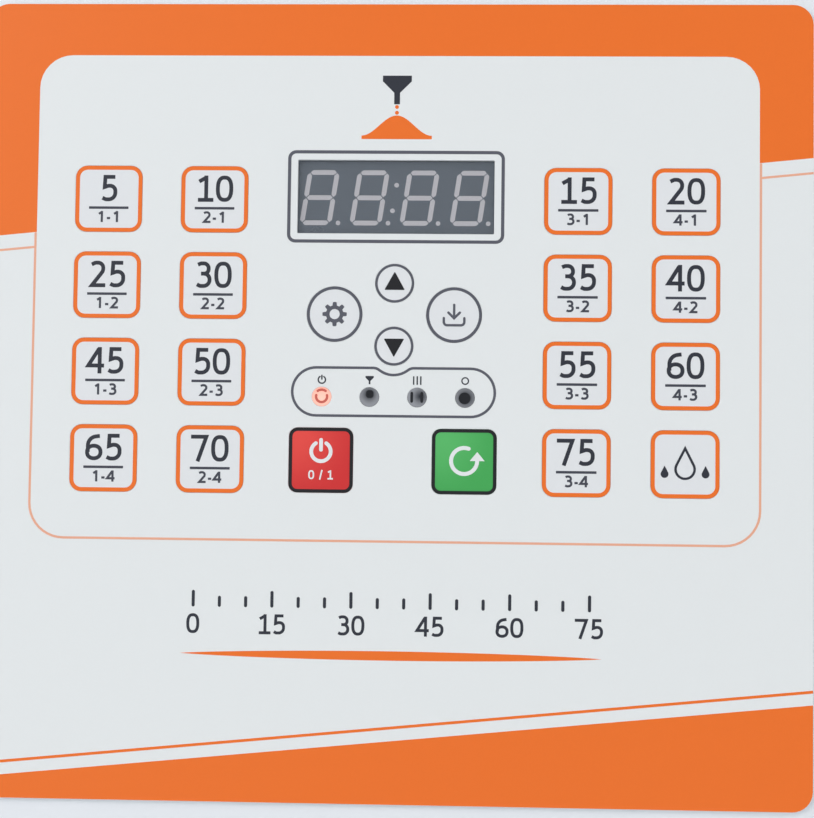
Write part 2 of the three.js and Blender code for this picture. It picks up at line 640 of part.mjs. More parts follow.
function driveMotor() {
  const front = gearboxBack + gap;
  const can = rodY(motor.radius, [front, front + motor.length], 0, augerUp, fine);
  const boss = rodY(motor.bossRadius, [front, front + motor.length + motor.bossLength], 0, augerUp);
  return can.add(boss);
}

// Angle bracket that carries the gearbox on the floor of the head
function motorBracket() {
  const low = headBottom + shellSheet + gap;
  const limits = [bracketFront, bracketFront + bracket.thickness];
  const plate = block(mirrored(bracket.width / 2), limits, [low, low + bracket.height]);
  const leg = block(mirrored(bracket.width / 2), [bracketFront, bracketFront + bracket.footDepth],
    [low, low + bracket.thickness]);
  const hole = rodY(auger.shaftRadius * 2, [limits[0] - overrun, limits[1] + overrun], 0, augerUp);
  return plate.add(leg).subtract(hole);
}

// Capacitive sensor that looks into the hopper, with the nut that holds it
function levelSensor() {
  const up = augerUp + sensor.aboveAuger;
  const barrelLimits = [hopperBack - sensor.inside, hopperBack + sensor.outside];
  const nutLimits = [hopperBack + gap, hopperBack + gap + sensor.nutThickness];
  const barrel = rodY(sensor.radius, barrelLimits, sensorAcross, up);
  const nut = rodY(sensor.nutRadius, nutLimits, sensorAcross, up, sensor.nutSides);
  return barrel.add(nut);
}

// Hinge: a leaf with two barrels on the deck, a pin, and two barrels behind the lid
const baseBarrels = () => mirrored(hinge.spread).map((middle) =>
  [middle - hinge.barrelLength / 2, middle + hinge.barrelLength / 2]);
const lidBarrels = () => mirrored(hinge.spread - hinge.barrelLength - gap).map((middle) =>
  [middle - hinge.barrelLength / 2, middle + hinge.barrelLength / 2]);

function pinBore(barrels) {
  const ends = barrels.flat();
  const limits = [Math.min(...ends) - overrun, Math.max(...ends) + overrun];
  return rodX(hinge.pinRadius + gap, limits, hingeAt, hingeUp);
}

function lidHingeBase() {
  const half = hinge.spread + hinge.barrelLength / 2;
  const leaf = block(mirrored(half), [hingeAt - hinge.barrelRadius, hingeAt + hinge.leaf],
    [headTop + gap, hingeLeafTop]);
  const barrels = baseBarrels().map((limits) => rodX(hinge.barrelRadius, limits, hingeAt, hingeUp));
  const webDepth = [hingeAt - hinge.barrelRadius, hingeAt + hinge.barrelRadius];
  const webHeight = [hingeLeafTop - hinge.leafThickness / 2, hingeUp];
  const webs = baseBarrels().map((limits) => block(limits, webDepth, webHeight));
  return joined([leaf, ...webs, ...barrels]).subtract(pinBore(baseBarrels()));
}

function lidHingePin() {
  const half = hinge.spread + hinge.barrelLength / 2;
  return rodX(hinge.pinRadius, mirrored(half), hingeAt, hingeUp, coarse);
}

function hopperLid() {
  const depth = lidBack - lidFront;
  const middle = (lidFront + lidBack) / 2;
  const skirtBottom = flangeTop + lid.aboveFlange;
  const outside = extrudeZ(roundedRectangle(lidHalf * 2, depth, lid.cornerRadius, 0, middle),
    [skirtBottom, lidTop]);
  const inside = extrudeZ(roundedRectangle((lidHalf - lid.wall) * 2, depth - 2 * lid.wall,
    lid.cornerRadius - lid.wall, 0, middle), [skirtBottom - overrun, lidUnderside]);
  const lip = block(mirrored(lid.lipWidth / 2), [lidFront - lid.lipDepth, lidFront + lid.wall / 2],
    [lidTop - lid.lipThickness, lidTop]);
  const barrels = lidBarrels().map((limits) => rodX(hinge.barrelRadius, limits, hingeAt, hingeUp));
  const webs = lidBarrels().map((limits) => block(limits,
    [lidBack - lid.wall / 2, hingeAt], [hingeUp - hinge.barrelRadius / 2, hingeUp + hinge.barrelRadius]));
  return joined([outside.subtract(inside), lip, ...webs, ...barrels]).subtract(pinBore(lidBarrels()));
}

// Soft ring under the lid that closes on the neck of the hopper
function lidGasket() {
  const limits = [neckTop + gap, neckTop + gap + gasket.thickness];
  const ring = (grow, heights) =>
    block(mirrored(hopper.width / 2 + grow), [hopperFront - grow, hopperBack + grow], heights);
  return ring(gasket.width / 2, limits).subtract(
    ring(-gasket.width / 2, [limits[0] - overrun, limits[1] + overrun]));
}

function dripTray() {
  const trayPlan = (grow) => roundedRectangle(trayWidth + 2 * grow, trayDepth + 2 * grow,
    tray.cornerRadius + grow, 0, trayMiddle);
  const bottom = trayRimTop - tray.height;
  const pan = extrudeZ(trayPlan(0), [bottom, trayRimTop]);
  const rim = extrudeZ(trayPlan(tray.rim), [baseTop + gap, trayRimTop]);
  const inside = extrudeZ(trayPlan(-tray.wall), [bottom + tray.wall, trayRimTop + overrun]);
  return pan.add(rim).subtract(inside);
}

// Flat grille that rests on the rim of the tray, with two rows of slots
function dripGrille() {
  const width = trayWidth + 2 * (tray.rim - grille.edge);
  const depth = trayDepth + 2 * (tray.rim - grille.edge);
  const limits = [trayRimTop + gap, trayRimTop + gap + grille.thickness];
  const cornerRadius = tray.cornerRadius + tray.rim - grille.edge;
  const plate = extrudeZ(roundedRectangle(width, depth, cornerRadius, 0, trayMiddle), limits);
  const slotLength = (trayDepth - 2 * grille.border - grille.bridge) / 2;
  const count = Math.floor((trayWidth - 2 * grille.border) / grille.slotPitch);
  const rows = mirrored((slotLength + grille.bridge) / 2);
  const slots = rows.flatMap((row) => Array.from({ length: count }, (_, place) => {
    const x = (place - (count - 1) / 2) * grille.slotPitch;
    const slot = roundedRectangle(grille.slotWidth, slotLength, grille.slotWidth / 2, x, trayMiddle + row);
    return extrudeZ(slot, [limits[0] - overrun, limits[1] + overrun]);
  }));
  return without(plate, slots);
}

function powerSupply() {
  const top = headBottom - supply.belowHead;
  return block(mirrored(supply.width / 2), [columnInside + gap, columnInside + gap + supply.depth],
    [top - supply.height, top]);
}

// Appliance inlet with its socket and the pocket of the rocker, behind a flange on the back cover
function powerInlet() {
  const body = block(mirrored(inlet.width / 2), [coverBack - inlet.depth, coverBack + gap],
    [inletUp - inlet.height / 2, inletUp + inlet.height / 2]);
  const flange = block(mirrored(inlet.flangeWidth / 2), [coverBack + gap, inletBack],
    [inletUp - inlet.flangeHeight / 2, inletUp + inlet.flangeHeight / 2]);
  const socketUp = inletUp + inlet.socketUp;
  const socket = block(mirrored(inlet.socketWidth / 2), [inletBack - inlet.socketDepth, inletBack + overrun],
    [socketUp - inlet.socketHeight / 2, socketUp + inlet.socketHeight / 2]);
  const pocketUp = inletUp + rocker.up;
  const pocketDepth = [inletBack - rocker.pocketDepth, inletBack + overrun];
  const pocket = block(mirrored(rocker.width / 2 + gap), pocketDepth,
    [pocketUp - rocker.height / 2 - gap, pocketUp + rocker.height / 2 + gap]);
  return body.add(flange).subtract(socket.add(pocket));
}

// Rocker with two faces that meet in a shallow V, at rest with its upper end pressed in
function addRocker() {
  const reach = rocker.height / 2;
  const rise = reach * Math.tan(THREE.MathUtils.degToRad(rocker.tilt));
  const tip = reach - gap;
  const half = reach / 2;
  const profile = polygon([
    [rise, -tip], [0, 0], [rise, tip], [-rocker.depth, half], [-rocker.depth, -half],
  ]);
  const body = extrudeX(profile, mirrored(rocker.width / 2));
  const mesh = addPiece('switch_rocker', body, blackPlastic);
  mesh.position.set(0, inletBack - rocker.proud, inletUp + rocker.up);
  mesh.rotation.x = THREE.MathUtils.degToRad(rocker.tilt);
}

const keys = keypad();
addFeet();
addPiece('base_plate', basePlate(), paint);
addPiece('base_deck', baseDeck(), paint);
addPiece('left_side_panel', sidePanel([-bodyWidth / 2, -sideInside]), paint);
addPiece('right_side_panel', sidePanel([sideInside, bodyWidth / 2]), paint);
addPiece('column_front_panel', columnFrontPanel(), paint);
addPiece('head_floor', headFloor(), paint);
addPiece('top_deck', topDeck(), paint);
addPiece('back_cover', backCover(), paint);
addPiece('fascia_plate', fasciaPlate(keys), paint);
addPiece('overlay_film', overlayFilm(keys), orangeFilm);
addKeys(keys);
addPiece('display_module', displayModule(), displayFace);
addPiece('control_board', controlBoard(keys), circuitBoard);
addPiece('powder_hopper', powderHopper(), stainless);
addPiece('outlet_chute', outletChute(), stainless);
addNozzle();
addPiece('auger_bush', wallBush(auger.shaftRadius, augerUp), whitePlastic);
addPiece('agitator_bush', wallBush(agitator.shaftRadius, agitatorUp), whitePlastic);
addTurningParts();
addPiece('gearbox', gearboxBody(), aluminium);
addPiece('drive_motor', driveMotor(), zincedSteel);
addPiece('motor_bracket', motorBracket(), zincedSteel);
addPiece('level_sensor', levelSensor(), blackPlastic);
addPiece('lid_hinge_base', lidHingeBase(), stainless);
addPiece('lid_hinge_pin', lidHingePin(), stainless);
addPiece('hopper_lid', hopperLid(), smokedClear);
addPiece('lid_gasket', lidGasket(), silicone);
addPiece('drip_tray', dripTray(), stainless);
addPiece('drip_grille', dripGrille(), stainless);
addPiece('power_supply', powerSupply(), aluminium);
addPiece('power_inlet', powerInlet(), blackPlastic);
addRocker();

export default machine;
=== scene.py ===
"""Bench-top powder dispenser: printed keypad on a folded steel body, hopper with screw and stirrer, tray."""
import logging
import math
from dataclasses import dataclass, field
from enum import Enum
from typing import Any, Iterable, Sequence, TypeAlias

import bpy
import numpy as np
from bpy.types import Material, Node, NodeSocket, NodeTree
from mathutils import Matrix, Vector
from mathutils.geometry import delaunay_2d_cdt


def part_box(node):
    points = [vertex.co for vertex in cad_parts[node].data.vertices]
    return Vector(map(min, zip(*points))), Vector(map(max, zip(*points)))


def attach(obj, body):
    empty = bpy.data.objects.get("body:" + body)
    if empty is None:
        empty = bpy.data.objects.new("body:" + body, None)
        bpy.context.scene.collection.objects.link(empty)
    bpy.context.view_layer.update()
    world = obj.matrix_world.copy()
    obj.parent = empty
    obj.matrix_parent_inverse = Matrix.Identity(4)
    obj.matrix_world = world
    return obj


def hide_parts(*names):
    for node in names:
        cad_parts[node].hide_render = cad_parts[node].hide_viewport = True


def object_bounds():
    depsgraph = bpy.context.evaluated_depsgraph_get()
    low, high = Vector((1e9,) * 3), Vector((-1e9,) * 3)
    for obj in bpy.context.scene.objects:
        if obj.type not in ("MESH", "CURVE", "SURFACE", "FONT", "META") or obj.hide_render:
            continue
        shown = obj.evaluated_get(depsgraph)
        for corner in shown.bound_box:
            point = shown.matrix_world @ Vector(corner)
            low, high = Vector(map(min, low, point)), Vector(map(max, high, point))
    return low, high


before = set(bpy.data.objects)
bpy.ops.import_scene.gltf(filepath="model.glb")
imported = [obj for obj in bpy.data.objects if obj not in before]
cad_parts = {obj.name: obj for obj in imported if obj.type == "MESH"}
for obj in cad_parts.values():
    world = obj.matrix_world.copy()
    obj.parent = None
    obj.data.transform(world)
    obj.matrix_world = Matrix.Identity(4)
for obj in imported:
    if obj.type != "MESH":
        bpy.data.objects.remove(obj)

log = logging.getLogger("powder_dispenser")
CAD_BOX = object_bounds()
MM = 0.001

Pair: TypeAlias = tuple[float, float]
Triple: TypeAlias = tuple[float, float, float]
Outline: TypeAlias = np.ndarray
Shapes: TypeAlias = list[list[Outline]]

# Sizes that several assemblies keep to, in millimetres as all others but the studio's
CLEARANCE = 0.3
SHEET = 1.5
HOPPER_FLANGE = 8
TRAY_RIM = 6
TRAY_CORNER = 10

# Edges that turn by more than this, in degrees, are shaded sharp
SHARP_FROM = 38


# Colours and nodes

def linear(colour: str) -> tuple[float, float, float, float]:
    """Turn an sRGB hex colour into linear red, green, blue and an opaque alpha.

    Args:
        colour: six hex digits after a hash.

    Returns:
        The linear colour: below 0.04045 a share is divided by 12.92, above it follows the 2.4 power curve.
    """
    shares = np.array([int(colour[place:place + 2], 16) for place in (1, 3, 5)]) / 255
    curve = np.where(shares <= 0.04045, shares / 12.92, ((shares + 0.055) / 1.055) ** 2.4)
    return (*curve.tolist(), 1.0)


def add_node(tree: NodeTree, kind: str, settings: dict[str | int, Any] | None = None,
             links: dict[str | int, NodeSocket] | None = None) -> Node:
    """Add one node with its settings and links.

    Args:
        tree: the node tree of the material or world.
        kind: the node's type name without the ShaderNode that all of them begin with.
        settings: values by the name or number of an input, or by the name of a property.
        links: output sockets of earlier nodes, by the name or number of the input that they feed.

    Returns:
        The new node.
    """
    node = tree.nodes.new(f"ShaderNode{kind}")
    for name, value in (settings or {}).items():
        if isinstance(name, int) or name in node.inputs:
            node.inputs[name].default_value = value
        else:
            setattr(node, name, value)
    for name, socket in (links or {}).items():
        tree.links.new(socket, node.inputs[name])
    return node


# Finishes

@dataclass(frozen=True)
class Finish:
    """A real material: its colour, its gloss, and the fine relief in millimetres that its making leaves."""

    name: str
    slot: str
    colour: str
    roughness: float
    metallic: float = 0.0
    ior: float = 1.5
    grain: float = 1.0
    relief: float = 0.0
    mottle: float = 0.0

    def material(self) -> Material:
        """Return this finish as a material, made once and then shared by every piece that has it.

        Returns:
            The material of this name.
        """
        made = bpy.data.materials.get(self.name)
        if made is None:
            made = bpy.data.materials.new(self.name)
            made.use_nodes = True
            self.dress(made.node_tree, made.node_tree.nodes["Principled BSDF"])
        return made

    def dress(self, tree: NodeTree, shader: Node) -> None:
        """Set the shader and lay the grain over it.

        Args:
            tree: the material's nodes.
            shader: its Principled BSDF.
        """
        shader.inputs["Base Color"].default_value = linear(self.colour)
        shader.inputs["Roughness"].default_value = self.roughness
        shader.inputs["Metallic"].default_value = self.metallic
        if self.metallic < 0.5:
            shader.inputs["IOR"].default_value = self.ior
        noise = self.pattern(tree)
        if self.relief:
            bump = add_node(tree, "Bump", {"Strength": 1.0, "Distance": self.relief * MM},
                            {"Height": noise.outputs["Fac"]})
            tree.links.new(bump.outputs["Normal"], shader.inputs["Normal"])
        if self.mottle:
            self.shade(tree, shader, noise)

    def pattern(self, tree: NodeTree) -> Node:
        """Return the grain: noise in object coordinates, one spot for each length of grain."""
        place = add_node(tree, "TexCoord")
        return add_node(tree, "TexNoise", {"Scale": 1 / (self.grain * MM), "Detail": 3.0},
                        {"Vector": place.outputs["Object"]})

    def shade(self, tree: NodeTree, shader: Node, noise: Node) -> None:
        """Let colour and gloss wander with the grain, by the share in mottle.

        Args:
            tree: the material's nodes.
            shader: its Principled BSDF.
            noise: the grain.
        """
        colour = linear(self.colour)
        dark = tuple(share * (1 - self.mottle) for share in colour[:3]) + (1.0,)
        mix = add_node(tree, "Mix", {"data_type": "RGBA", 6: dark, 7: colour},
                       {0: noise.outputs["Fac"]})
        tree.links.new(mix.outputs[2], shader.inputs["Base Color"])
        spread = self.mottle * self.roughness
        gloss = add_node(tree, "MapRange",
                         {"To Min": self.roughness - spread, "To Max": self.roughness + spread},
                         {"Value": noise.outputs["Fac"]})
        tree.links.new(gloss.outputs["Result"], shader.inputs["Roughness"])


@dataclass(frozen=True)
class BrushedMetal(Finish):
    """Sheet ground along one direction: long fine scratches that stretch each highlight across them."""

    along: Triple = (0.02, 1.0, 1.0)

    def pattern(self, tree: NodeTree) -> Node:
        """Return the scratches: noise whose scale is squeezed along the grind.

        Args:
            tree: the material's nodes.

        Returns:
            The noise node.
        """
        place = add_node(tree, "TexCoord")
        stretch = add_node(tree, "Mapping", {"Scale": self.along},
                           {"Vector": place.outputs["Object"]})
        return add_node(tree, "TexNoise", {"Scale": 1 / (self.grain * MM), "Detail": 4.0},
                        {"Vector": stretch.outputs["Vector"]})


@dataclass(frozen=True)
class ClearPlastic(Finish):
    """Clear or smoked sheet: part of the light goes straight through, and the rest is gloss and tint."""

    opacity: float = 0.2

    def dress(self, tree: NodeTree, shader: Node) -> None:
        """Set the shader, its grain and how much of it covers what lies behind."""
        super().dress(tree, shader)
        shader.inputs["Alpha"].default_value = self.opacity


def fade(tree: NodeTree, colours: tuple[str, str], middle: Triple, reach: float,
         curve: str) -> NodeSocket:
    """Mix two colours by the distance from a point.

    Args:
        tree: the material's nodes.
        colours: the colour at the point, and the one that it has turned into at its reach.
        middle: the point, in the machine's frame.
        reach: the distance at which the second colour is full.
        curve: how the share grows with the distance, LINEAR or SMOOTHSTEP.

    Returns:
        The socket with the mixed colour.
    """
    place = add_node(tree, "TexCoord")
    heart = [part * MM for part in middle]
    away = add_node(tree, "VectorMath", {"operation": "DISTANCE", 1: heart},
                    {0: place.outputs["Object"]})
    share = add_node(tree, "MapRange", {"From Max": reach * MM, "interpolation_type": curve},
                     {"Value": away.outputs["Value"]})
    near, far = (linear(colour) for colour in colours)
    mix = add_node(tree, "Mix", {"data_type": "RGBA", 6: near, 7: far},
                   {0: share.outputs["Result"]})
    return mix.outputs[2]


@dataclass(frozen=True)
class LitLens(Finish):
    """Lens of a lamp that is on: the glow is brightest at its heart and deepens towards the rim."""

    glow: str = "#fff0de"
    strength: float = 0.33
    middle: Triple = (0.0, 0.0, 0.0)
    reach: float = 3.0

    def dress(self, tree: NodeTree, shader: Node) -> None:
        """Set the shader and let it glow round the heart.

        Args:
            tree: the material's nodes.
            shader: its Principled BSDF.
        """
        super().dress(tree, shader)
        glow = fade(tree, (self.glow, self.colour), self.middle, self.reach, "LINEAR")
        tree.links.new(glow, shader.inputs["Emission Color"])
        shader.inputs["Emission Strength"].default_value = self.strength


@dataclass(frozen=True)
class ShadedInk(Finish):
    """Ink or epoxy with painted light: its colour shades off round a point, as the painted highlight of a
    key's dome or the painted shade in the heart of a lens.
    """

    pale: str = "#ffffff"
    middle: Triple = (0.0, 0.0, 0.0)
    reach: float = 16.0

    def dress(self, tree: NodeTree, shader: Node) -> None:
        """Set the shader and paint light and shade into its colour round the point.

        Args:
            tree: the material's nodes.
            shader: its Principled BSDF.
        """
        super().dress(tree, shader)
        shaded = fade(tree, (self.pale, self.colour), self.middle, self.reach, "SMOOTHSTEP")
        tree.links.new(shaded, shader.inputs["Base Color"])


# Velvet-textured polyester film, screen-printed on its back: soft gloss, and a grain drawn as coarse as
# 0.6 mm so that it shows
FILM_GRAIN = 0.6
FILM_RELIEF = 0.006


def film_ink(name: str, colour: str, roughness: float = 0.42, mottle: float = 0.04) -> Finish:
    """Return the film over one of its inks."""
    return Finish(f"film_ink_{name}", "printed_film", colour, roughness, grain=FILM_GRAIN, relief=FILM_RELIEF,
                  mottle=mottle)


# White inks of the film and of the keys, which are a shade cooler
FILM_WHITE = film_ink("white", "#e5e9ea", 0.4, 0.02)
FILM_KEY = film_ink("key_white", "#e2e5e8", 0.4, 0.02)
# Orange ink, full on bands and key lines, and a thin coat of it that leaves hairlines pale
FILM_ORANGE = film_ink("orange", "#f07016", 0.4, 0.03)
FILM_THIN_ORANGE = film_ink("thin_orange", "#eaab8f", 0.4, 0.03)
# Dark inks, from the blue black of the figures to the grey of the frames
FILM_DARK = film_ink("dark", "#262a36")
FILM_GREY = film_ink("grey", "#565863")
FILM_INDEX = film_ink("index_grey", "#3e414d")
FILM_BLACK = film_ink("black", "#0c0d15")
# Baked polyester powder coat: a faint orange peel, about 1.4 mm from dimple to dimple, that breaks highlights
POWDER_COAT = Finish("powder_coat_white", "powder_coat", "#e8ecf1", 0.42, grain=1.4, relief=0.03,
                     mottle=0.03)
# Brushed stainless sheet, grade 304: scratches about 0.35 mm apart, drawn coarser than the real ones
STAINLESS = BrushedMetal("stainless_brushed", "stainless", "#d2d3d4", 0.3, metallic=1.0, grain=0.35,
                         relief=0.004, mottle=0.12)
# Turned or rolled stainless: rings of fine tool marks, seen as slight streaks along the axis
STAINLESS_TURNED = BrushedMetal("stainless_turned", "stainless", "#d5d6d7", 0.24, metallic=1.0,
                                grain=0.3, relief=0.003, mottle=0.12, along=(1.0, 0.03, 1.0))
# Zinc-plated steel: a cool grey with cloudy spangles some 4 mm wide
ZINC = Finish("steel_zinc_plated", "zinced_steel", "#aeb3b8", 0.4, metallic=1.0, grain=4,
              relief=0.004, mottle=0.18)
# Die-cast aluminium: a grainy skin with spots of about 0.8 mm
CAST_ALUMINIUM = Finish("aluminium_die_cast", "cast_aluminium", "#bcbfc2", 0.5, metallic=1.0, grain=0.8,
                        relief=0.03, mottle=0.15)
# Moulded rubber: dull, with a fine pebble of 0.5 mm and dust that greys it
RUBBER = Finish("rubber_moulded", "foot_rubber", "#26272a", 0.8, grain=0.5, relief=0.02,
                mottle=0.25)
# Spark-eroded black nylon: an even fine grain of 0.4 mm that keeps the gloss low
BLACK_NYLON = Finish("nylon_black_moulded", "black_plastic", "#1d1e20", 0.5, grain=0.4, relief=0.01,
                     mottle=0.15)
# The same nylon from a polished mould, as on the rocker: the gloss tells it from the grained flange
BLACK_NYLON_POLISHED = Finish("nylon_black_polished", "black_plastic", "#16171a", 0.2, grain=6,
                              relief=0.01, mottle=0.08)
# Acetal, turned or moulded: milky white with a waxy gloss
ACETAL = Finish("acetal_white", "white_plastic", "#ebece8", 0.35, grain=2, relief=0.004,
                mottle=0.04)
# Silicone rubber: translucent grey-white, dull, slightly wavy
SILICONE = Finish("silicone_grey", "silicone", "#d5d7d4", 0.6, ior=1.41, grain=2.5, relief=0.02,
                  mottle=0.06)
# Smoked polycarbonate: a dark tint under a hard gloss, with the faint waves of moulding
SMOKED = ClearPlastic("polycarbonate_smoked", "smoked_lid", "#3b4046", 0.12, ior=1.58, grain=30,
                      relief=0.02, opacity=0.55)
# Clear polyester window in the film: a thin haze over the display
CLEAR_FILM = ClearPlastic("film_clear_window", "display_face", "#98a0a8", 0.3, ior=1.6, grain=FILM_GRAIN,
                          relief=0.004, opacity=0.06)
# Glass-fibre board with green solder mask: glossy, with a woven unevenness of 1 mm
SOLDER_MASK = Finish("board_solder_mask", "circuit_board", "#1f5f3d", 0.35, grain=1, relief=0.01,
                     mottle=0.25)
# Cast epoxy of a numeric display: slate grey face, pale unlit segments
DISPLAY_FACE = Finish("display_epoxy_face", "display_face", "#59616b", 0.35, grain=0.8,
                      relief=0.004, mottle=0.08)
DISPLAY_SEGMENT = Finish("display_epoxy_segment", "display_face", "#c3c1c6", 0.35, grain=0.5,
                         relief=0.004, mottle=0.06)
# Lead frame seen through the lamp's epoxy: drawn dark as painted shade in the unlit lamps, and red against
# the lit one
LAMP_FRAME_PAINTED_SHADE = Finish("lamp_frame_dark", "circuit_board", "#1b1e24", 0.3, grain=0.8, relief=0.002,
                    mottle=0.2)
LAMP_LIT_FRAME = Finish("lamp_frame_lit", "circuit_board", "#d4695b", 0.3, grain=0.8, relief=0.002,
                        mottle=0.1)
# Nickel-plated brass pins: warm bright metal with drawn streaks
NICKEL = Finish("brass_nickel_plated", "zinced_steel", "#cfc9bd", 0.22, metallic=1.0, grain=1,
                relief=0.003, mottle=0.1)


# Outlines, in millimetres on a flat drawing

def distinct(points: np.ndarray, closed: bool = True) -> Outline:
    """Leave out each point that repeats the one before it.

    Args:
        points: the outline, one point a row.
        closed: whether the last point leads back to the first.

    Returns:
        The points that lie more than a tenth of a micrometre from the one before.
    """
    step = np.linalg.norm(points - np.roll(points, 1, axis=0), axis=1)
    kept = step > 1e-4
    if not closed:
        kept[0] = True
    return points[kept]


def rounded(corners: Sequence[Triple], steps: int = 6, closed: bool = True) -> Outline:
    """Line through corners, each turned into an arc.

    Where two sides turn by an angle t, an arc of radius r leaves and meets them r * tan(t / 2) from the
    corner, and its points swing round its middle in equal steps. A point outside each end of the arc keeps
    the shading of the straight sides even. It lies r * tan(t / 4 / steps) away, and a tenth more, so that the
    line may be moved inward by as much as r before that point and the arc's end cross.

    Args:
        corners: across, up and radius of each corner, in order.
        steps: parts of each arc.
        closed: whether the last corner leads back to the first.

    Returns:
        The points of the line, one a row.
    """
    table = np.array(corners, float)
    points, radii = table[:, :2], table[:, 2:3]
    before = np.roll(points, 1, axis=0) - points
    after = np.roll(points, -1, axis=0) - points
    if not closed:
        before[0], after[-1] = -after[0], -before[-1]
    length = np.linalg.norm(after, axis=1, keepdims=True)
    before /= np.linalg.norm(before, axis=1, keepdims=True)
    after /= length
    half = (math.pi - np.arccos(np.clip((before * after).sum(1, keepdims=True), -1, 1))) / 2
    reach = radii * np.tan(half)
    side = np.sign(before[:, 1:] * after[:, :1] - before[:, :1] * after[:, 1:])
    start = points + before * reach
    across = side * np.stack([before[:, 1], -before[:, 0]], 1)
    middle = start + across * radii
    swing = (side * 2 * half * np.linspace(0, 1, steps + 1))[:, :, None]
    spoke = (start - middle)[:, None, :]
    square = np.stack([-spoke[..., 1], spoke[..., 0]], -1)
    arcs = middle[:, None, :] + spoke * np.cos(swing) + square * np.sin(swing)
    straight = np.clip(length - reach - np.roll(reach, -1, axis=0), 0, None)
    margin = 1.1 * radii * np.tan(half / (2 * steps))
    first = points + before * (reach + np.minimum(margin, 0.4 * np.roll(straight, 1, axis=0)))
    last = points + after * (reach + np.minimum(margin, 0.4 * straight))
    line = np.concatenate([first[:, None], arcs, last[:, None]], axis=1).reshape(-1, 2)
    return distinct(line, closed)


def oblong(width: float, height: float, radius: float, middle: Pair = (0.0, 0.0),
           steps: int = 6) -> Outline:
    """Return the outline of a rectangle with equal rounded corners round its middle.

    Args:
        width: its width.
        height: its height.
        radius: radius of its corners.
        middle: where its middle lies.
        steps: parts of each corner.

    Returns:
        The points, anticlockwise from the lower left.
    """
    across, up = middle
    half, rise = width / 2, height / 2
    return rounded([(across - half, up - rise, radius), (across + half, up - rise, radius),
                    (across + half, up + rise, radius), (across - half, up + rise, radius)], steps)


def circle(radius: float, middle: Pair = (0.0, 0.0), steps: int = 48) -> Outline:
    """Return the points of a circle, anticlockwise from its right."""
    angle = np.arange(steps) * 2 * math.pi / steps
    return np.stack([middle[0] + radius * np.cos(angle), middle[1] + radius * np.sin(angle)], 1)


def arc(radius: float, start: float, end: float, middle: Pair = (0.0, 0.0),
        steps: int = 24) -> Outline:
    """Return points of an arc between two angles in degrees, both ends included."""
    angle = np.radians(np.linspace(start, end, steps + 1))
    return np.stack([middle[0] + radius * np.cos(angle), middle[1] + radius * np.sin(angle)], 1)


def area(outline: Outline) -> float:
    """Return the signed area of an outline, above zero where it runs anticlockwise."""
    after = np.roll(outline, -1, axis=0)
    return float((outline[:, 0] * after[:, 1] - outline[:, 1] * after[:, 0]).sum() / 2)


def inward(outline: Outline) -> Outline:
    """Return the way to the left of an outline at each point, long enough to keep both sides' distance.

    Args:
        outline: points of a closed line.

    Returns:
        The sum of both sides' left normals over 1 plus their dot product, one row a point.
    """
    side = np.roll(outline, -1, axis=0) - outline
    side = side / np.linalg.norm(side, axis=1, keepdims=True)
    left = np.stack([-side[:, 1], side[:, 0]], 1)
    before = np.roll(left, 1, axis=0)
    return (left + before) / (1 + (left * before).sum(1, keepdims=True))


def ring(outline: Outline, width: float) -> list[Outline]:
    """Return the two outlines of a closed line of a width, which lies inside the given outline."""
    outer = outline if area(outline) > 0 else outline[::-1]
    return [outer, outer + inward(outer) * width]


def stroke(path: np.ndarray, width: float, square: bool = False) -> list[Outline]:
    """Outline of an open line.

    Args:
        path: the middle of the line, one point a row.
        width: its width.
        square: whether its ends are cut straight; else they are round.

    Returns:
        One outline: the path shifted to its right, half a circle, the path shifted to its left and run back,
        and half a circle, the halves left out where the ends are straight.
    """
    side = np.diff(path, axis=0)
    side = side / np.linalg.norm(side, axis=1, keepdims=True)
    left = np.stack([-side[:, 1], side[:, 0]], 1)
    before, after = np.vstack([left[:1], left]), np.vstack([left, left[-1:]])
    away = (before + after) / (1 + (before * after).sum(1, keepdims=True)) * width / 2
    if square:
        return [distinct(np.vstack([path - away, (path + away)[::-1]]))]
    tip = math.degrees(math.atan2(side[-1, 1], side[-1, 0]))
    tail = math.degrees(math.atan2(side[0, 1], side[0, 0]))
    end = arc(width / 2, tip - 90, tip + 90, tuple(path[-1]), 8)
    start = arc(width / 2, tail + 90, tail + 270, tuple(path[0]), 8)
    return [distinct(np.vstack([path - away, end, (path + away)[::-1], start]))]


# Closed skins, in millimetres in the machine's frame

class Facing(Enum):
    """The way a flat drawing looks once it stands in the machine: its right, its up and its outward side."""

    FRONT = ((1, 0, 0), (0, 0, 1), (0, -1, 0))
    BACK = ((-1, 0, 0), (0, 0, 1), (0, 1, 0))
    TOP = ((1, 0, 0), (0, 1, 0), (0, 0, 1))
    UNDER = ((1, 0, 0), (0, -1, 0), (0, 0, -1))
    RIGHT = ((0, 1, 0), (0, 0, 1), (1, 0, 0))
    LEFT = ((0, -1, 0), (0, 0, 1), (-1, 0, 0))


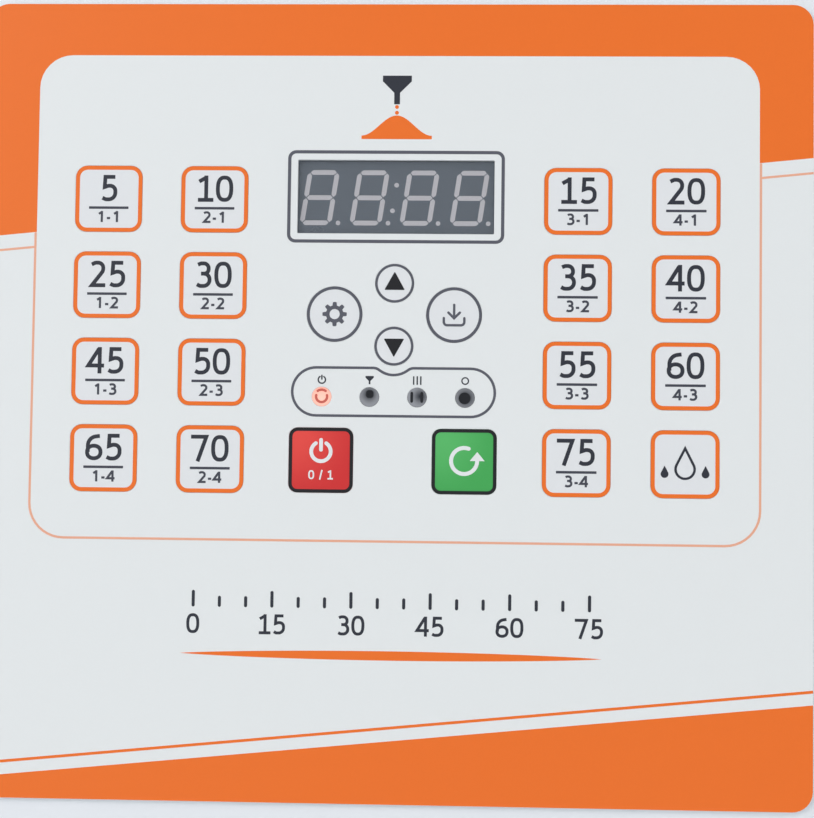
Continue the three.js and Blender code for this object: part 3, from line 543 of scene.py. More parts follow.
@dataclass(frozen=True)
class Skin:
    """Points and triangles of one or more closed surfaces, and which triangles are shaded smooth."""

    points: np.ndarray
    triangles: np.ndarray
    smooth: np.ndarray

    def __add__(self, other: "Skin") -> "Skin":
        """Return both skins as one."""
        return Skin(np.vstack([self.points, other.points]),
                    np.vstack([self.triangles, other.triangles + len(self.points)]),
                    np.concatenate([self.smooth, other.smooth]))

    def facing(self, side: Facing) -> "Skin":
        """Return the skin with its drawing stood up to look that way."""
        return Skin(self.points @ np.array(side.value, float), self.triangles, self.smooth)

    def moved(self, x: float = 0.0, y: float = 0.0, z: float = 0.0) -> "Skin":
        """Return the skin shifted."""
        return Skin(self.points + np.array([x, y, z]), self.triangles, self.smooth)

    def turned(self, axis: str, degrees: float, centre: Sequence[float] = (0.0, 0.0, 0.0)) -> "Skin":
        """Return the skin turned round an axis through a point, anticlockwise seen against the axis.

        Args:
            axis: X, Y or Z.
            degrees: the angle.
            centre: the point.

        Returns:
            The turned skin.
        """
        turn = np.array(Matrix.Rotation(math.radians(degrees), 3, axis))
        middle = np.array(centre, float)
        return Skin((self.points - middle) @ turn.T + middle, self.triangles, self.smooth)

    def welded(self) -> "Skin":
        """Return the skin with coinciding points made one and triangles without area left out.

        Returns:
            The skin; points closer than about a tenth of a micrometre are one.
        """
        keys = np.round(self.points * 1e4).astype(np.int64)
        _, kept, where = np.unique(keys, axis=0, return_index=True, return_inverse=True)
        triangles = where.reshape(-1)[self.triangles]
        real = ((triangles[:, 0] != triangles[:, 1]) & (triangles[:, 1] != triangles[:, 2])
                & (triangles[:, 2] != triangles[:, 0]))
        return Skin(self.points[kept], triangles[real], self.smooth[real])


def united(skins: Iterable[Skin]) -> Skin:
    """Return several skins as one, each still closed in itself.

    Args:
        skins: one or more skins.

    Returns:
        The skin of them all.
    """
    whole, *others = skins
    for other in others:
        whole = whole + other
    return whole


def woven(grid: np.ndarray, close_rows: bool = False, close_columns: bool = True) -> Skin:
    """Skin over a grid of points.

    Each cell of four neighbours becomes two triangles, whose front is on the right of a column that climbs.

    Args:
        grid: points by row and column.
        close_rows: whether the last row leads back to the first.
        close_columns: whether the last column leads back to the first.

    Returns:
        The skin, shaded smooth.
    """
    rows, columns = grid.shape[:2]
    number = np.arange(rows * columns).reshape(rows, columns)
    if close_rows:
        number = np.vstack([number, number[:1]])
    if close_columns:
        number = np.hstack([number, number[:, :1]])
    a, b, c, d = number[:-1, :-1], number[:-1, 1:], number[1:, 1:], number[1:, :-1]
    triangles = np.concatenate([np.stack([a, b, c], -1), np.stack([a, c, d], -1)]).reshape(-1, 3)
    return Skin(grid.reshape(-1, 3), triangles, np.ones(len(triangles), bool))


def cap(outlines: Sequence[Outline], level: float, upward: bool) -> Skin:
    """Flat face inside the first outline and outside the others.

    Args:
        outlines: the outer outline, then one for each hole.
        level: the height of the face.
        upward: whether the face looks up.

    Returns:
        The face, in flat triangles.

    Raises:
        ValueError: if an outline crosses itself or another one.
    """
    flat = np.vstack(outlines)
    starts = np.cumsum([0, *(len(outline) for outline in outlines)])
    loops = [list(range(start, start + len(outline)))[::1 if area(outline) > 0 else -1]
             for start, outline in zip(starts, outlines)]
    spots = [Vector(spot) for spot in (flat - flat.mean(0)).tolist()]
    _, _, found, origins, _, owners = delaunay_2d_cdt(spots, [], loops, 1, 1e-6)
    if any(len(origin) != 1 for origin in origins):
        raise ValueError(f"an outline crosses itself or a hole, {len(outlines[0])} points in the outer one")
    number = np.array(origins)[:, 0]
    triangles = number[np.array([triangle for triangle, owner in zip(found, owners) if owner == [0]])]
    points = np.column_stack([flat, np.full(len(flat), level)])
    return Skin(points, triangles if upward else triangles[:, ::-1], np.zeros(len(triangles), bool))


def carried(outlines: Sequence[Outline], section: np.ndarray, closed: bool = False) -> Skin:
    """Closed skin made by a section carried round outlines.

    Each point of the section gives a ring: the outline moved inward by the point's first number, at the level
    of its second. Rings in a row are joined by walls. The first and last rings are closed by flat faces,
    unless the section itself is closed.

    Args:
        outlines: the outer outline, then one for each hole.
        section: inset and level of each point, from the lower face to the upper one.
        closed: whether the section leads back to its first point.

    Returns:
        The skin of the drawing, looking up.
    """
    turned = [np.asarray(loop)[::1 if (area(loop) > 0) == (place == 0) else -1]
              for place, loop in enumerate(outlines)]
    ways = [inward(loop) for loop in turned]
    walls = []
    for loop, way in zip(turned, ways):
        flat = loop[None] + way[None] * section[:, None, :1]
        level = np.broadcast_to(section[:, None, 1:], (*flat.shape[:2], 1))
        walls.append(woven(np.concatenate([flat, level], axis=2), close_rows=closed))
    if closed:
        return united(walls)
    ends = [(section[0], False), (section[-1], True)]
    caps = [cap([loop + way * inset for loop, way in zip(turned, ways)], level, upward)
            for (inset, level), upward in ends]
    return united([*walls, *caps]).welded()


def sheet(outlines: Sequence[Outline], low: float, high: float, rim: float = 0.0, under: float = 0.0,
          steps: int = 3) -> Skin:
    """Closed plate between two levels.

    Args:
        outlines: the outer outline, then one for each hole.
        low: the lower level.
        high: the upper level.
        rim: radius of the upper edges, at most four fifths of the outline's own radii.
        under: radius of the lower edges.
        steps: parts of each rounded edge.

    Returns:
        The skin of the plate, looking up.
    """
    corners = [(0.0, low, under), (0.0, high, rim)]
    if under:
        corners.insert(0, (1.25 * under, low, 0.0))
    if rim:
        corners.append((1.25 * rim, high, 0.0))
    return carried(outlines, rounded(corners, steps, closed=False))


def revolved(profile: np.ndarray, steps: int = 48, closed: bool = False) -> Skin:
    """Closed skin of a profile turned round the drawing's outward axis.

    Args:
        profile: distance from the axis and level of each point, from the lower end to the upper one.
        steps: parts of the turn.
        closed: whether the profile leads back to its first point and stays clear of the axis.

    Returns:
        The skin: each point of the profile makes a circle, and circles in a row are joined.
    """
    angle = np.arange(steps) * 2 * math.pi / steps
    away, level = profile[:, :1], profile[:, 1:]
    levels = np.broadcast_to(level, (len(profile), steps))
    grid = np.stack([away * np.cos(angle), away * np.sin(angle), levels], axis=2)
    return woven(grid, close_rows=closed).welded()


def rod(radius: float, low: float, high: float, rim: float = 0.0, steps: int = 32) -> Skin:
    """Return a round bar along the drawing's outward axis, with both ends' edges rounded."""
    profile = rounded([(0.0, low, 0.0), (radius, low, rim), (radius, high, rim), (0.0, high, 0.0)], 3,
                      closed=False)
    return revolved(profile, steps)


def pipe(outer: float, inner: float, low: float, high: float, rim: float = 0.0, steps: int = 48) -> Skin:
    """Return a tube along the drawing's outward axis, with all four edges rounded."""
    section = rounded([(inner, low, rim), (outer, low, rim), (outer, high, rim), (inner, high, rim)], 2)
    return revolved(section, steps, closed=True)


def block(low: Sequence[float], high: Sequence[float], rim: float = 0.3,
          corner: float | None = None) -> Skin:
    """Return a box between two corners in the machine's frame, every edge rounded.

    Args:
        low: its lowest corner.
        high: its highest corner.
        rim: radius of its level edges.
        corner: radius of its upright edges, 1.3 times the rim if not given.

    Returns:
        The skin of the box.
    """
    (x0, y0, z0), (x1, y1, z1) = low, high
    middle = ((x0 + x1) / 2, (y0 + y1) / 2)
    outline = oblong(x1 - x0, y1 - y0, corner or 1.3 * rim, middle, 4)
    return sheet([outline], z0, z1, rim, rim)


# Strokes of each printed figure: corners with their radii, in hundredths of the figure's height. The upright
# bar stands for a 1 without a foot.
FIGURE_STROKES = {
    "1": [[(35, 100, 0), (35, 0, 0)], [(36, 93, 0), (8, 77, 0)], [(4, 7, 0), (63, 7, 0)]],
    "|": [[(38, 100, 0), (38, 0, 0)], [(39, 92, 0), (14, 74, 0)]],
    "2": [[(8, 86, 0), (22, 93, 16), (52, 93, 20), (52, 62, 24), (10, 7, 0), (61, 7, 0)]],
    "3": [[(9, 88, 0), (21, 93, 16), (50, 93, 19), (50, 54, 17), (21, 54, 0)],
          [(21, 54, 0), (54, 54, 22), (54, 7, 23), (18, 7, 16), (6, 13, 0)]],
    "4": [[(63, 30, 0), (3, 30, 0), (43, 94, 0)], [(46, 100, 0), (46, 0, 0)]],
    "5": [[(54, 93, 0), (16, 93, 0), (14, 54, 0), (28, 59, 12), (55, 59, 20), (55, 7, 25), (18, 7, 16),
           (6, 13, 0)]],
    "6": [[(53, 92, 0), (8, 86, 34), (8, 31, 0)]],
    "7": [[(-5, 93, 0), (53, 93, 0), (21, 0, 0)]],
    "-": [[(6, 36, 0), (32, 36, 0)]],
    "/": [[(8, -4, 0), (34, 104, 0)]],
}
# Bowls of the figures that close, in shares of the height: half their width, half their height, and the power
# that squares them (1 for an ellipse)
FIGURE_BOWLS = {"0": (0.33, 0.5, 0.82), "6": (0.33, 0.31, 0.93)}
FIGURE_WIDTH = 0.62
NARROW_SIGNS = {"-": 0.38, "/": 0.38, " ": 0.3}


@dataclass(frozen=True)
class Lettering:
    """Printed figures with even strokes, whose weight and space are shares of their height."""

    height: float
    weight: float = 0.148
    stretch: float = 1.0
    space: float = 0.12

    def line(self, text: str, middle: Pair) -> Shapes:
        """Shapes of a line of figures.

        Args:
            text: the figures.
            middle: middle of the line, across and up.

        Returns:
            The outline and holes of each stroke; the bowls of 0 and 6 are rings.
        """
        height, weight = self.height, self.weight * self.height
        widths = [self.stretch * NARROW_SIGNS.get(sign, FIGURE_WIDTH) for sign in text]
        across = middle[0] - (sum(widths) + self.space * (len(text) - 1)) * height / 2
        shapes = []
        for sign, width in zip(text, widths):
            shift = np.array([across, middle[1] - height / 2])
            for corners in FIGURE_STROKES.get(sign, []):
                path = rounded((np.array(corners) * height / 100).tolist(), 8, closed=False)
                shapes.append(stroke(path * [self.stretch, 1.0] + shift, weight, square=True))
            if sign in FIGURE_BOWLS:
                half, rise, power = FIGURE_BOWLS[sign]
                turn = circle(1.0, steps=40)
                bowl = np.sign(turn) * np.abs(turn) ** power * [half, rise] + [FIGURE_WIDTH / 2, rise]
                shapes.append(ring(bowl * height + shift, weight))
            across += (width + self.space) * height
        return shapes


# Pieces

@dataclass(frozen=True)
class Box:
    """Lowest and highest corner of a CAD node at rest."""

    low: Vector
    high: Vector

    @classmethod
    def of(cls, node: str) -> "Box":
        """Return the box of one CAD node."""
        return cls(*(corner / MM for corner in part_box(node)))

    @property
    def middle(self) -> Vector:
        """Return the middle of the box."""
        return (self.low + self.high) / 2

    @property
    def size(self) -> Vector:
        """Return the sizes of the box along the three axes."""
        return self.high - self.low

    def seen(self, side: Facing) -> "Box":
        """Return the box in the axes of a drawing: across, up and outward."""
        ends = np.array([self.low, self.high]) @ np.array(side.value, float).T
        return Box(Vector(ends.min(0)), Vector(ends.max(0)))

    def spots(self, aside: float, along: float, columns: int = 2, rows: int = 2) -> list[Pair]:
        """Return places in a grid on the box's drawing.

        Args:
            aside: how far in from its sides the outer columns stand.
            along: how far in from its ends the outer rows stand.
            columns: number of columns.
            rows: number of rows.

        Returns:
            The places, across and up, one column after another.
        """
        return [(x, y) for x in np.linspace(self.low.x + aside, self.high.x - aside, columns)
                for y in np.linspace(self.low.y + along, self.high.y - along, rows)]


def add_piece(name: str, skin: Skin, finish: Finish, body: str = "housing", node: str = "") -> None:
    """Make one piece of the machine, its object at the origin.

    Args:
        name: name of the piece.
        skin: its closed surface, in the machine's frame.
        finish: its material.
        body: the CAD body that carries it.
        node: the CAD node that it stands for, if any.
    """
    mesh = bpy.data.meshes.new(name)
    mesh.from_pydata(skin.points * MM, [], skin.triangles)
    mesh.polygons.foreach_set("use_smooth", skin.smooth)
    mesh.set_sharp_from_angle(angle=math.radians(SHARP_FROM))
    mesh.materials.append(finish.material())
    piece = bpy.data.objects.new(name, mesh)
    bpy.context.scene.collection.objects.link(piece)
    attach(piece, body)
    if node:
        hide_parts(node)
    log.info("%s: %d triangles on %s", name, len(skin.triangles), body)


def refinish(finish: Finish, *nodes: str) -> None:
    """Give CAD nodes that keep their own shape a finish."""
    for node in nodes:
        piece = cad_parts[node]
        piece.data.materials.clear()
        piece.data.materials.append(finish.material())
        log.info("%s: shape kept, %s", node, finish.name)


# Symbols, drawn round the middle of their key or lamp; shares in them are of the size given

def upright(across: float, low: float, high: float, width: float) -> list[Outline]:
    """Return an upright bar with round ends, from the two ends of its middle line."""
    return stroke(np.array([(across, low), (across, high)]), width)


def power_symbol(radius: float, width: float) -> Shapes:
    """Return a power mark: a circle open for 64 degrees at the top, with a bar through its gap."""
    return [stroke(arc(radius - width / 2, 122, 418), width), upright(0.0, 0.15 * radius, radius, width)]


def triangle_symbol(width: float, height: float, side: int) -> Shapes:
    """Return a filled triangle that points up at side 1 and down at side -1."""
    half, tip, corner = width / 2, side * height / 2, 0.15
    return [[rounded([(-half, -tip, corner), (half, -tip, corner), (0.0, tip, corner)], 3)]]


def gear_symbol(radius: float, teeth: int = 8) -> Shapes:
    """Return a gear: the radius swings between root and tip with a flattened cosine, round an open middle.

    Args:
        radius: radius at the tips.
        teeth: number of teeth.

    Returns:
        The gear with its hole.
    """
    angle = np.linspace(0, 2 * math.pi, teeth * 16, endpoint=False)
    away = radius * (0.86 + 0.14 * np.tanh(4 * np.cos(teeth * angle)))
    return [[np.stack([away * np.cos(angle), away * np.sin(angle)], 1), circle(0.42 * radius)]]


def store_symbol(size: float, width: float) -> Shapes:
    """Return an arrow that points down into an open tray.

    Args:
        size: width and height of the symbol.
        width: width of its lines.

    Returns:
        Its three strokes.
    """
    half, top, corner = size / 2, -0.15 * size, 0.16 * size
    wing, rise, tip = 0.28 * size, 0.12 * size, -0.16 * size
    head = stroke(np.array([(-wing, rise), (0.0, tip), (wing, rise)]), width)
    tray = rounded([(-half, top, 0), (-half, -half, corner), (half, -half, corner), (half, top, 0)], 10,
                   closed=False)
    return [upright(0.0, -0.1 * size, half, width), head, stroke(tray, width)]


def drop_outline(radius: float, middle: Pair = (0.0, 0.0)) -> Outline:
    """Return a drop: two thirds of a circle, drawn out to a point above."""
    across, up = middle
    return np.vstack([arc(radius, 150, 390, (across, up - 0.45 * radius), 28), (across, up + 1.75 * radius)])


def rinse_symbol(radius: float, width: float) -> Shapes:
    """Return a drop in outline with a small full drop on each side."""
    sides = [[drop_outline(0.36 * radius, (side * 1.9 * radius, -0.75 * radius))] for side in (-1, 1)]
    return [ring(drop_outline(radius), width), *sides]


def loop_symbol(radius: float, width: float) -> Shapes:
    """Return a loop that goes nearly all round and ends in an arrow head.

    Args:
        radius: radius of the line's middle.
        width: width of the line.

    Returns:
        The line and the head.
    """
    wing, tip = 1.9 * width, 2.3 * width
    head = rounded([(radius - wing, 0.0, 0), (radius + wing, 0.0, 0), (radius, tip, 0)])
    return [stroke(arc(radius, 70, 360), width), [head]]


def bars_symbol(width: float, height: float, count: int = 3) -> Shapes:
    """Return upright bars side by side, as the teeth of a brush."""
    return [upright(x, -height / 2, height / 2, 0.6 * width / count)
            for x in np.linspace(-width / 2, width / 2, count)]


def funnel_symbol(size: float) -> Shapes:
    """Return a funnel with a short spout.

    Args:
        size: width and height of the symbol.

    Returns:
        Its outline.
    """
    half, spout, neck, shoulder = size / 2, 0.1 * size, -0.1 * size, 0.3 * size
    right = [(spout, -half, 0), (spout, neck, 0), (half, shoulder, 0), (half, half, 0)]
    left = [(-across, up, radius) for across, up, radius in right[::-1]]
    return [[rounded([*right, *left], 2)]]


# Control panel

@dataclass(frozen=True)
class KeyKind:
    """Outline of a key round its middle, with the line printed along its edge."""

    outline: Outline
    line: float
    line_finish: Finish


@dataclass(frozen=True)
class Lamp:
    """Indicator lamp: the symbol over it, its lead frame, drawn dark as painted shade unless lit, and the
    heart of its lens, round which it glows when lit and else fades from painted shade.
    """

    name: str
    symbol: Shapes
    lead_frame: Shapes
    heart: Pair
    reach: float
    lit: bool = False

    def lens_finish(self, x: float, y: float, z: float) -> Finish:
        """Return the lens round its middle: pale and glowing when lit, else a dark heart of painted shade in
        a grey rim of painted sheen.

        Args:
            x: place of the lamp across the machine.
            y: place from its front to its back.
            z: its height.

        Returns:
            The finish of the lens.
        """
        heart = (x + self.heart[0], y, z + self.heart[1])
        if self.lit:
            return LitLens("lamp_epoxy_lit", "circuit_board", "#efab9a", 0.3, middle=heart, reach=self.reach)
        # An unlit lens is opaque and painted: shade in a dark heart, paling to a grey painted sheen at its
        # rim.
        return ShadedInk(f"lamp_epoxy_painted_shade_{self.name}", "circuit_board", "#93969c", 0.25, grain=2,
                         relief=0.01, pale="#2c3037", middle=heart, reach=self.reach)


def indicator_lamps() -> list[Lamp]:
    """Return the four lamps from left to right.

    Returns:
        The lamps, of which only the first is lit.
    """
    loops = [stroke(arc(1.4, 165, 375), 0.65), stroke(arc(1.75, 55, 125), 0.65)]
    # The unlit lamps' insides are dark painted shade: a cup, two posts, and for the empty lamp a plain disc
    cup = [oblong(1.9, 2.0, 0.7, (0.1, 0.75))]
    posts = [upright(x, -1.0, 1.1, 0.7) for x in (-1.35, 1.2)]
    disc = [circle(1.5, (-0.1, -0.1))]
    return [
        Lamp("power", power_symbol(1.1, 0.36), loops, (0.0, -0.5), 3.0, lit=True),
        Lamp("dosing", funnel_symbol(2.1), [cup], (0.0, 0.7), 2.9),
        Lamp("cleaning", bars_symbol(1.8, 1.9), posts, (0.9, 0.3), 2.7),
        Lamp("empty", [ring(circle(1.0), 0.34)], [disc], (0.2, 0.0), 3.7)]


@dataclass
class ControlPanel:
    """Printed film on the face of the head, with its keys, lamp windows and display window."""

    skin_depth: float = 0.06
    ink: float = 0.04
    ink_sunk: float = 0.02
    ink_step: float = 0.002
    slit: float = 0.05
    film_corner: float = 5.3
    film_rim: float = 0.12
    slope: float = 0.1014
    band_up: float = 33.91
    hairline_up: float = 30.08
    hairline: float = 0.58
    wedge_up: float = -103.6
    stripe_gap: float = 2.94
    stripe: float = 0.72
    field_half: float = 92.15
    field_top: float = 70.5
    field_bottom: float = -53.29
    field_corner: float = 8.5
    field_line: float = 0.6
    field_line_overlap: float = 0.55
    bar: Pair = (10.2, 0.65)
    bar_up: float = -2.3
    bar_corner: float = 0.1
    dose_figures: Lettering = Lettering(6.75)
    dose_figures_up: float = 2.75
    index_figures: Lettering = Lettering(2.85, weight=0.2, stretch=1.13)
    index_up: float = -4.6
    run_figures: Lettering = Lettering(2.3, weight=0.17)
    run_figures_up: float = -3.7
    pad: float = 0.6
    plunger: Pair = (1.7, 0.3)
    plunger_overlap: float = 0.1
    # Distance up and to the left of a key's middle at which its painted highlight is palest
    glint: float = 6
    window: Pair = (50.2, 18.9)
    window_up: float = 34.15
    window_corner: float = 0.2
    window_thick: float = 0.25
    frame_size: Pair = (55.4, 23.8)
    frame_corner: float = 2.1
    frame_line: float = 0.84
    lamp_radius: float = 2.5
    lamp_rim: float = 0.1
    lamps_at: tuple[float, ...] = (-18.2, -6.05, 6.05, 18.2)
    lamps_up: float = -17.05
    lamp_marks_up: float = -12.75
    pill_half: float = 26.05
    pill_span: Pair = (-22.2, -9.3)
    pill_corner: float = 6.45
    pill_line: float = 0.67
    dip: Pair = (4.3, -12.31)
    dip_corners: Pair = (2.8, 5.6)
    scale_half: float = 50.0
    scale_up: float = -70.2
    scale_top: int = 75
    scale_step: int = 5
    ticks: Triple = (3.4, 2.0, 0.8)
    scale_figures: Lettering = Lettering(5.0, weight=0.15)
    scale_figures_down: float = 4.6
    underline_half: float = 53.1
    underline_up: float = -82.3
    underline_thick: float = 2.34
    pictogram_up: float = 57.5
    heap: Triple = (9, 5.2, 0.9)
    heap_down: float = 7.6
    grain: float = 0.5
    grains_down: Pair = (0.2, 1.7)
    funnel: float = 7.4
    funnel_up: float = 4.2
    kinds: dict[str, KeyKind] = field(default_factory=lambda: {
        "dose": KeyKind(oblong(17.2, 17.05, 3), 1.03, FILM_ORANGE),
        "large": KeyKind(circle(7.05, steps=72), 0.73, FILM_GREY),
        "small": KeyKind(circle(4.925, steps=60), 0.6, FILM_GREY),
        "run": KeyKind(oblong(16.3, 16.45, 2.2), 0.85, FILM_BLACK),
    })

    def __post_init__(self) -> None:
        """Read where the film and the keys are."""
        self.box = Box.of("overlay_film")
        self.back, self.face = -self.box.high.y, -self.box.low.y
        self.front = self.face - self.skin_depth
        self.up = (Box.of("dose_key_5").middle.z + Box.of("dose_key_65").middle.z) / 2
        self.half = self.box.high.x
        self.top = self.box.high.z - self.up
        self.bottom = self.box.low.z - self.up
        self.keys = [(f"dose_key_{grams}", f"dose_{grams}", "dose") for grams in range(5, 80, 5)]
        others = {"clean": "dose", "set": "large", "save": "large", "up": "small", "down": "small",
                  "power": "run", "continuous": "run"}
        self.keys += [(f"{body}_key", body, kind) for body, kind in others.items()]

    def slanted(self, across: float | np.ndarray, up: float) -> float | np.ndarray:
        """Return the height of a slanted edge that crosses the middle at a height."""
        return up + self.slope * across

    def middle(self, node: str) -> Pair:
        """Return the middle of a key on the drawing."""
        place = Box.of(node).middle
        return place.x, place.z - self.up

    def placed(self, drawn: Skin, middle: Pair = (0.0, 0.0)) -> Skin:
        """Return a drawing stood up in the head's face, its origin at a place from the middle of the keys."""
        return drawn.facing(Facing.FRONT).moved(middle[0], 0.0, self.up + middle[1])

    def printed(self, name: str, shapes: Shapes, finish: Finish, body: str = "housing",
                middle: Pair = (0.0, 0.0), layer: int = 1) -> None:
        """Lay ink on the film or a key.

        Args:
            name: name of the piece.
            shapes: each shape's outline and holes, on the drawing.
            finish: the ink.
            body: the CAD body that carries it.
            middle: where the drawing's origin lies from the middle of the keys.
            layer: how many inks lie on each other here; each later one stands a little prouder.
        """
        low, high = self.front - self.ink_sunk, self.front + self.ink * layer / 2
        skin = united(sheet(shape, low, high + self.ink_step * place) for place, shape in enumerate(shapes))
        add_piece(name, self.placed(skin, middle), finish, body)

    def build(self) -> None:
        """Build the film, its print, the keys and the windows."""
        self.add_film()
        self.add_bands()
        self.add_field_line()
        self.add_frames()
        self.add_scale()
        self.add_underline()
        self.add_pictogram()
        for node, body, kind in self.keys:
            self.add_key(node, body, self.kinds[kind])
        self.add_lamps()
        self.add_window()

    def add_film(self) -> None:
        """Cut the white film to its outline, with openings for keys, lamps and display."""
        outline = oblong(2 * self.half, self.top - self.bottom, self.film_corner,
                         (0.0, (self.top + self.bottom) / 2), 8)
        holes = [oblong(*self.window, self.window_corner, (0.0, self.window_up), 2)]
        holes += [circle(self.lamp_radius, (x, self.lamps_up), 40) for x in self.lamps_at]
        for node, _, kind in self.keys:
            key = self.kinds[kind].outline
            holes.append(key - inward(key) * self.slit + np.array(self.middle(node)))
        skin = sheet([outline, *holes], self.back, self.front, self.film_rim)
        add_piece("film_base", self.placed(skin), FILM_WHITE, node="overlay_film")

    def add_bands(self) -> None:
        """Print the orange head band round the white field, and the wedge and stripe along the foot."""
        edge, corner = self.half - self.film_rim, self.film_corner - self.film_rim
        inner, top, bottom = self.field_half, self.top - self.film_rim, self.bottom + self.film_rim
        low = {x: self.slanted(x, self.band_up) for x in (-edge, -inner, inner, edge)}
        band = rounded([
            (-edge, low[-edge], 0), (-inner, low[-inner], 0), (-inner, self.field_top, self.field_corner),
            (inner, self.field_top, self.field_corner), (inner, low[inner], 0), (edge, low[edge], 0),
            (edge, top, corner), (-edge, top, corner)], 8)
        inside = oblong(2 * edge, top - bottom, corner, (0.0, (top + bottom) / 2), 8)
        wedge = self.below(inside, self.wedge_up)
        stripe = self.slat(-edge, edge, self.wedge_up + self.stripe_gap, self.stripe)
        self.printed("film_bands", [[band], [wedge], [stripe]], FILM_ORANGE)
        outside = inner + self.field_line
        hairlines = [[self.slat(start, end, self.hairline_up - self.hairline / 2, self.hairline)]
                     for start, end in ((-edge, -outside), (outside, edge))]
        self.printed("film_hairlines", hairlines, FILM_THIN_ORANGE)

    def below(self, outline: Outline, up: float) -> Outline:
        """Cut an outline along a slanted edge.

        Args:
            outline: the outline, which the edge crosses twice.
            up: height at which the edge crosses the middle.

        Returns:
            The lower part. Where a side crosses the edge, its ends' heights over the edge share the side out.
        """
        over = outline[:, 1] - self.slanted(outline[:, 0], up)
        next_over, way = np.roll(over, -1), np.roll(outline, -1, axis=0) - outline
        crossing = (over < 0) != (next_over < 0)
        share = np.where(crossing, over / np.where(crossing, over - next_over, 1), 0)
        merged = np.stack([outline, outline + way * share[:, None]], 1).reshape(-1, 2)
        return merged[np.stack([over < 0, crossing], 1).reshape(-1)]

    def slat(self, start: float, end: float, under: float, thick: float) -> Outline:
        """Return the outline of a slanted stripe between two places, from its lower edge's height."""
        low, high = under, under + thick
        return np.array([(start, self.slanted(start, low)), (end, self.slanted(end, low)),
                         (end, self.slanted(end, high)), (start, self.slanted(start, high))])

    def add_field_line(self) -> None:
        """Print the thin line round the lower part of the white field."""
        middle = self.field_line / 2
        half, low, corner = self.field_half + middle, self.field_bottom - middle, self.field_corner + middle
        start, end = (self.slanted(x, self.band_up) - self.field_line_overlap * self.field_line
                      for x in (-half, half))
        path = rounded([(-half, start, 0), (-half, low, corner), (half, low, corner), (half, end, 0)], 10,
                       closed=False)
        self.printed("film_field_line", [stroke(path, self.field_line)], FILM_THIN_ORANGE)

    def add_frames(self) -> None:
        """Print the frame of the display and the outline round the lamps, which dips under the down key."""
        display = oblong(*self.frame_size, self.frame_corner, (0.0, self.window_up))
        half, (low, top), end = self.pill_half, self.pill_span, self.pill_corner
        (aside, deep), (shoulder, bowl) = self.dip, self.dip_corners
        lamps = rounded([(half, low, end), (half, top, end), (aside, top, shoulder), (0.0, deep, bowl),
                         (-aside, top, shoulder), (-half, top, end), (-half, low, end)], 12)
        self.printed("film_frames", [ring(display, self.frame_line), ring(lamps, self.pill_line)], FILM_GREY)

    def add_scale(self) -> None:
        """Print a plain scale of doses, every third tick long and with its figure."""
        long, short, width = self.ticks
        grams = np.arange(0, self.scale_top + 1, self.scale_step)
        places = np.interp(grams, (0, self.scale_top), (-self.scale_half, self.scale_half))
        major = grams % (3 * self.scale_step) == 0
        tops = self.scale_up + np.where(major, long, short)
        ticks = [upright(x, self.scale_up, top, width) for x, top in zip(places, tops)]
        self.printed("film_scale_ticks", ticks, FILM_DARK)
        for gram, x in zip(grams[major], places[major]):
            shapes = self.scale_figures.line(str(gram), (float(x), self.scale_up - self.scale_figures_down))
            self.printed(f"film_scale_{gram}", shapes, FILM_DARK)

    def add_underline(self) -> None:
        """Print the underline, which thins towards both ends as 1 - u^2 to the power 0.8."""
        across = np.linspace(-1, 1, 61)
        thick = self.underline_thick / 2 * (1 - across ** 2) ** 0.8
        line = self.underline_half * across
        taper = np.vstack([np.stack([line, -thick], 1), np.stack([line, thick], 1)[-2:0:-1]])
        self.printed("film_underline", [[taper + np.array([0.0, self.underline_up])]], FILM_ORANGE)

    def add_pictogram(self) -> None:
        """Print a funnel that drops grains on a heap, whose top follows one wave of a cosine."""
        half, height, foot = self.heap
        turn = np.linspace(-math.pi, math.pi, 37)
        top = np.stack([half * turn / math.pi, height / 2 * (1 + np.cos(turn))], 1)
        heap = np.vstack([top, [(half, -foot), (-half, -foot)]]) + [0.0, self.pictogram_up - self.heap_down]
        grains = [[circle(self.grain, (0.0, self.pictogram_up - down), 16)] for down in self.grains_down]
        self.printed("film_pictogram_heap", [[heap], *grains], FILM_ORANGE)
        funnel = [[loop + np.array([0.0, self.pictogram_up + self.funnel_up]) for loop in shape]
                  for shape in funnel_symbol(self.funnel)]
        self.printed("film_pictogram_funnel", funnel, FILM_DARK)

    def add_key(self, node: str, body: str, kind: KeyKind) -> None:
        """Build a key: its stiff zone with a plunger behind, its line, and its figures or symbol.

        Args:
            node: the key's CAD node.
            body: the body that carries it.
            kind: its outline and line.
        """
        middle, box = self.middle(node), Box.of(node).seen(Facing.FRONT)
        radius, rim = self.plunger
        back = box.high.z - self.pad
        plunger = rod(radius, box.low.z, back + self.plunger_overlap, rim, 20)
        pad = sheet([kind.outline], back, self.front) + plunger
        add_piece(f"{body}_pad", self.placed(pad, middle), self.pad_finish(body, middle), body, node)
        self.printed(f"{body}_line", [ring(kind.outline, kind.line)], kind.line_finish, body, middle)
        if body.startswith("dose_"):
            self.mark_dose(body, int(body.removeprefix("dose_")), middle)
        else:
            self.mark_symbol(body, middle)

    def pad_finish(self, body: str, middle: Pair) -> Finish:
        """Return the ink of a key: white, but red for power and green for the continuous run, each with a
        painted highlight.

        Args:
            body: the CAD body that carries the key.
            middle: middle of the key on the drawing.

        Returns:
            The finish of the key's pad.
        """
        inks = {"power": ("red", "#d02829", "#e6463f"), "continuous": ("green", "#3ea752", "#55b966")}
        if body not in inks:
            return FILM_KEY
        name, ink, pale = inks[body]
        # The red and green inks pale towards a point up and to the left of the key's middle: a painted
        # highlight.
        glint = (middle[0] - self.glint, -self.front, self.up + middle[1] + self.glint)
        return ShadedInk(f"film_ink_{name}", f"{name}_film", ink, 0.38, grain=FILM_GRAIN, relief=FILM_RELIEF,
                         pale=pale, middle=glint)

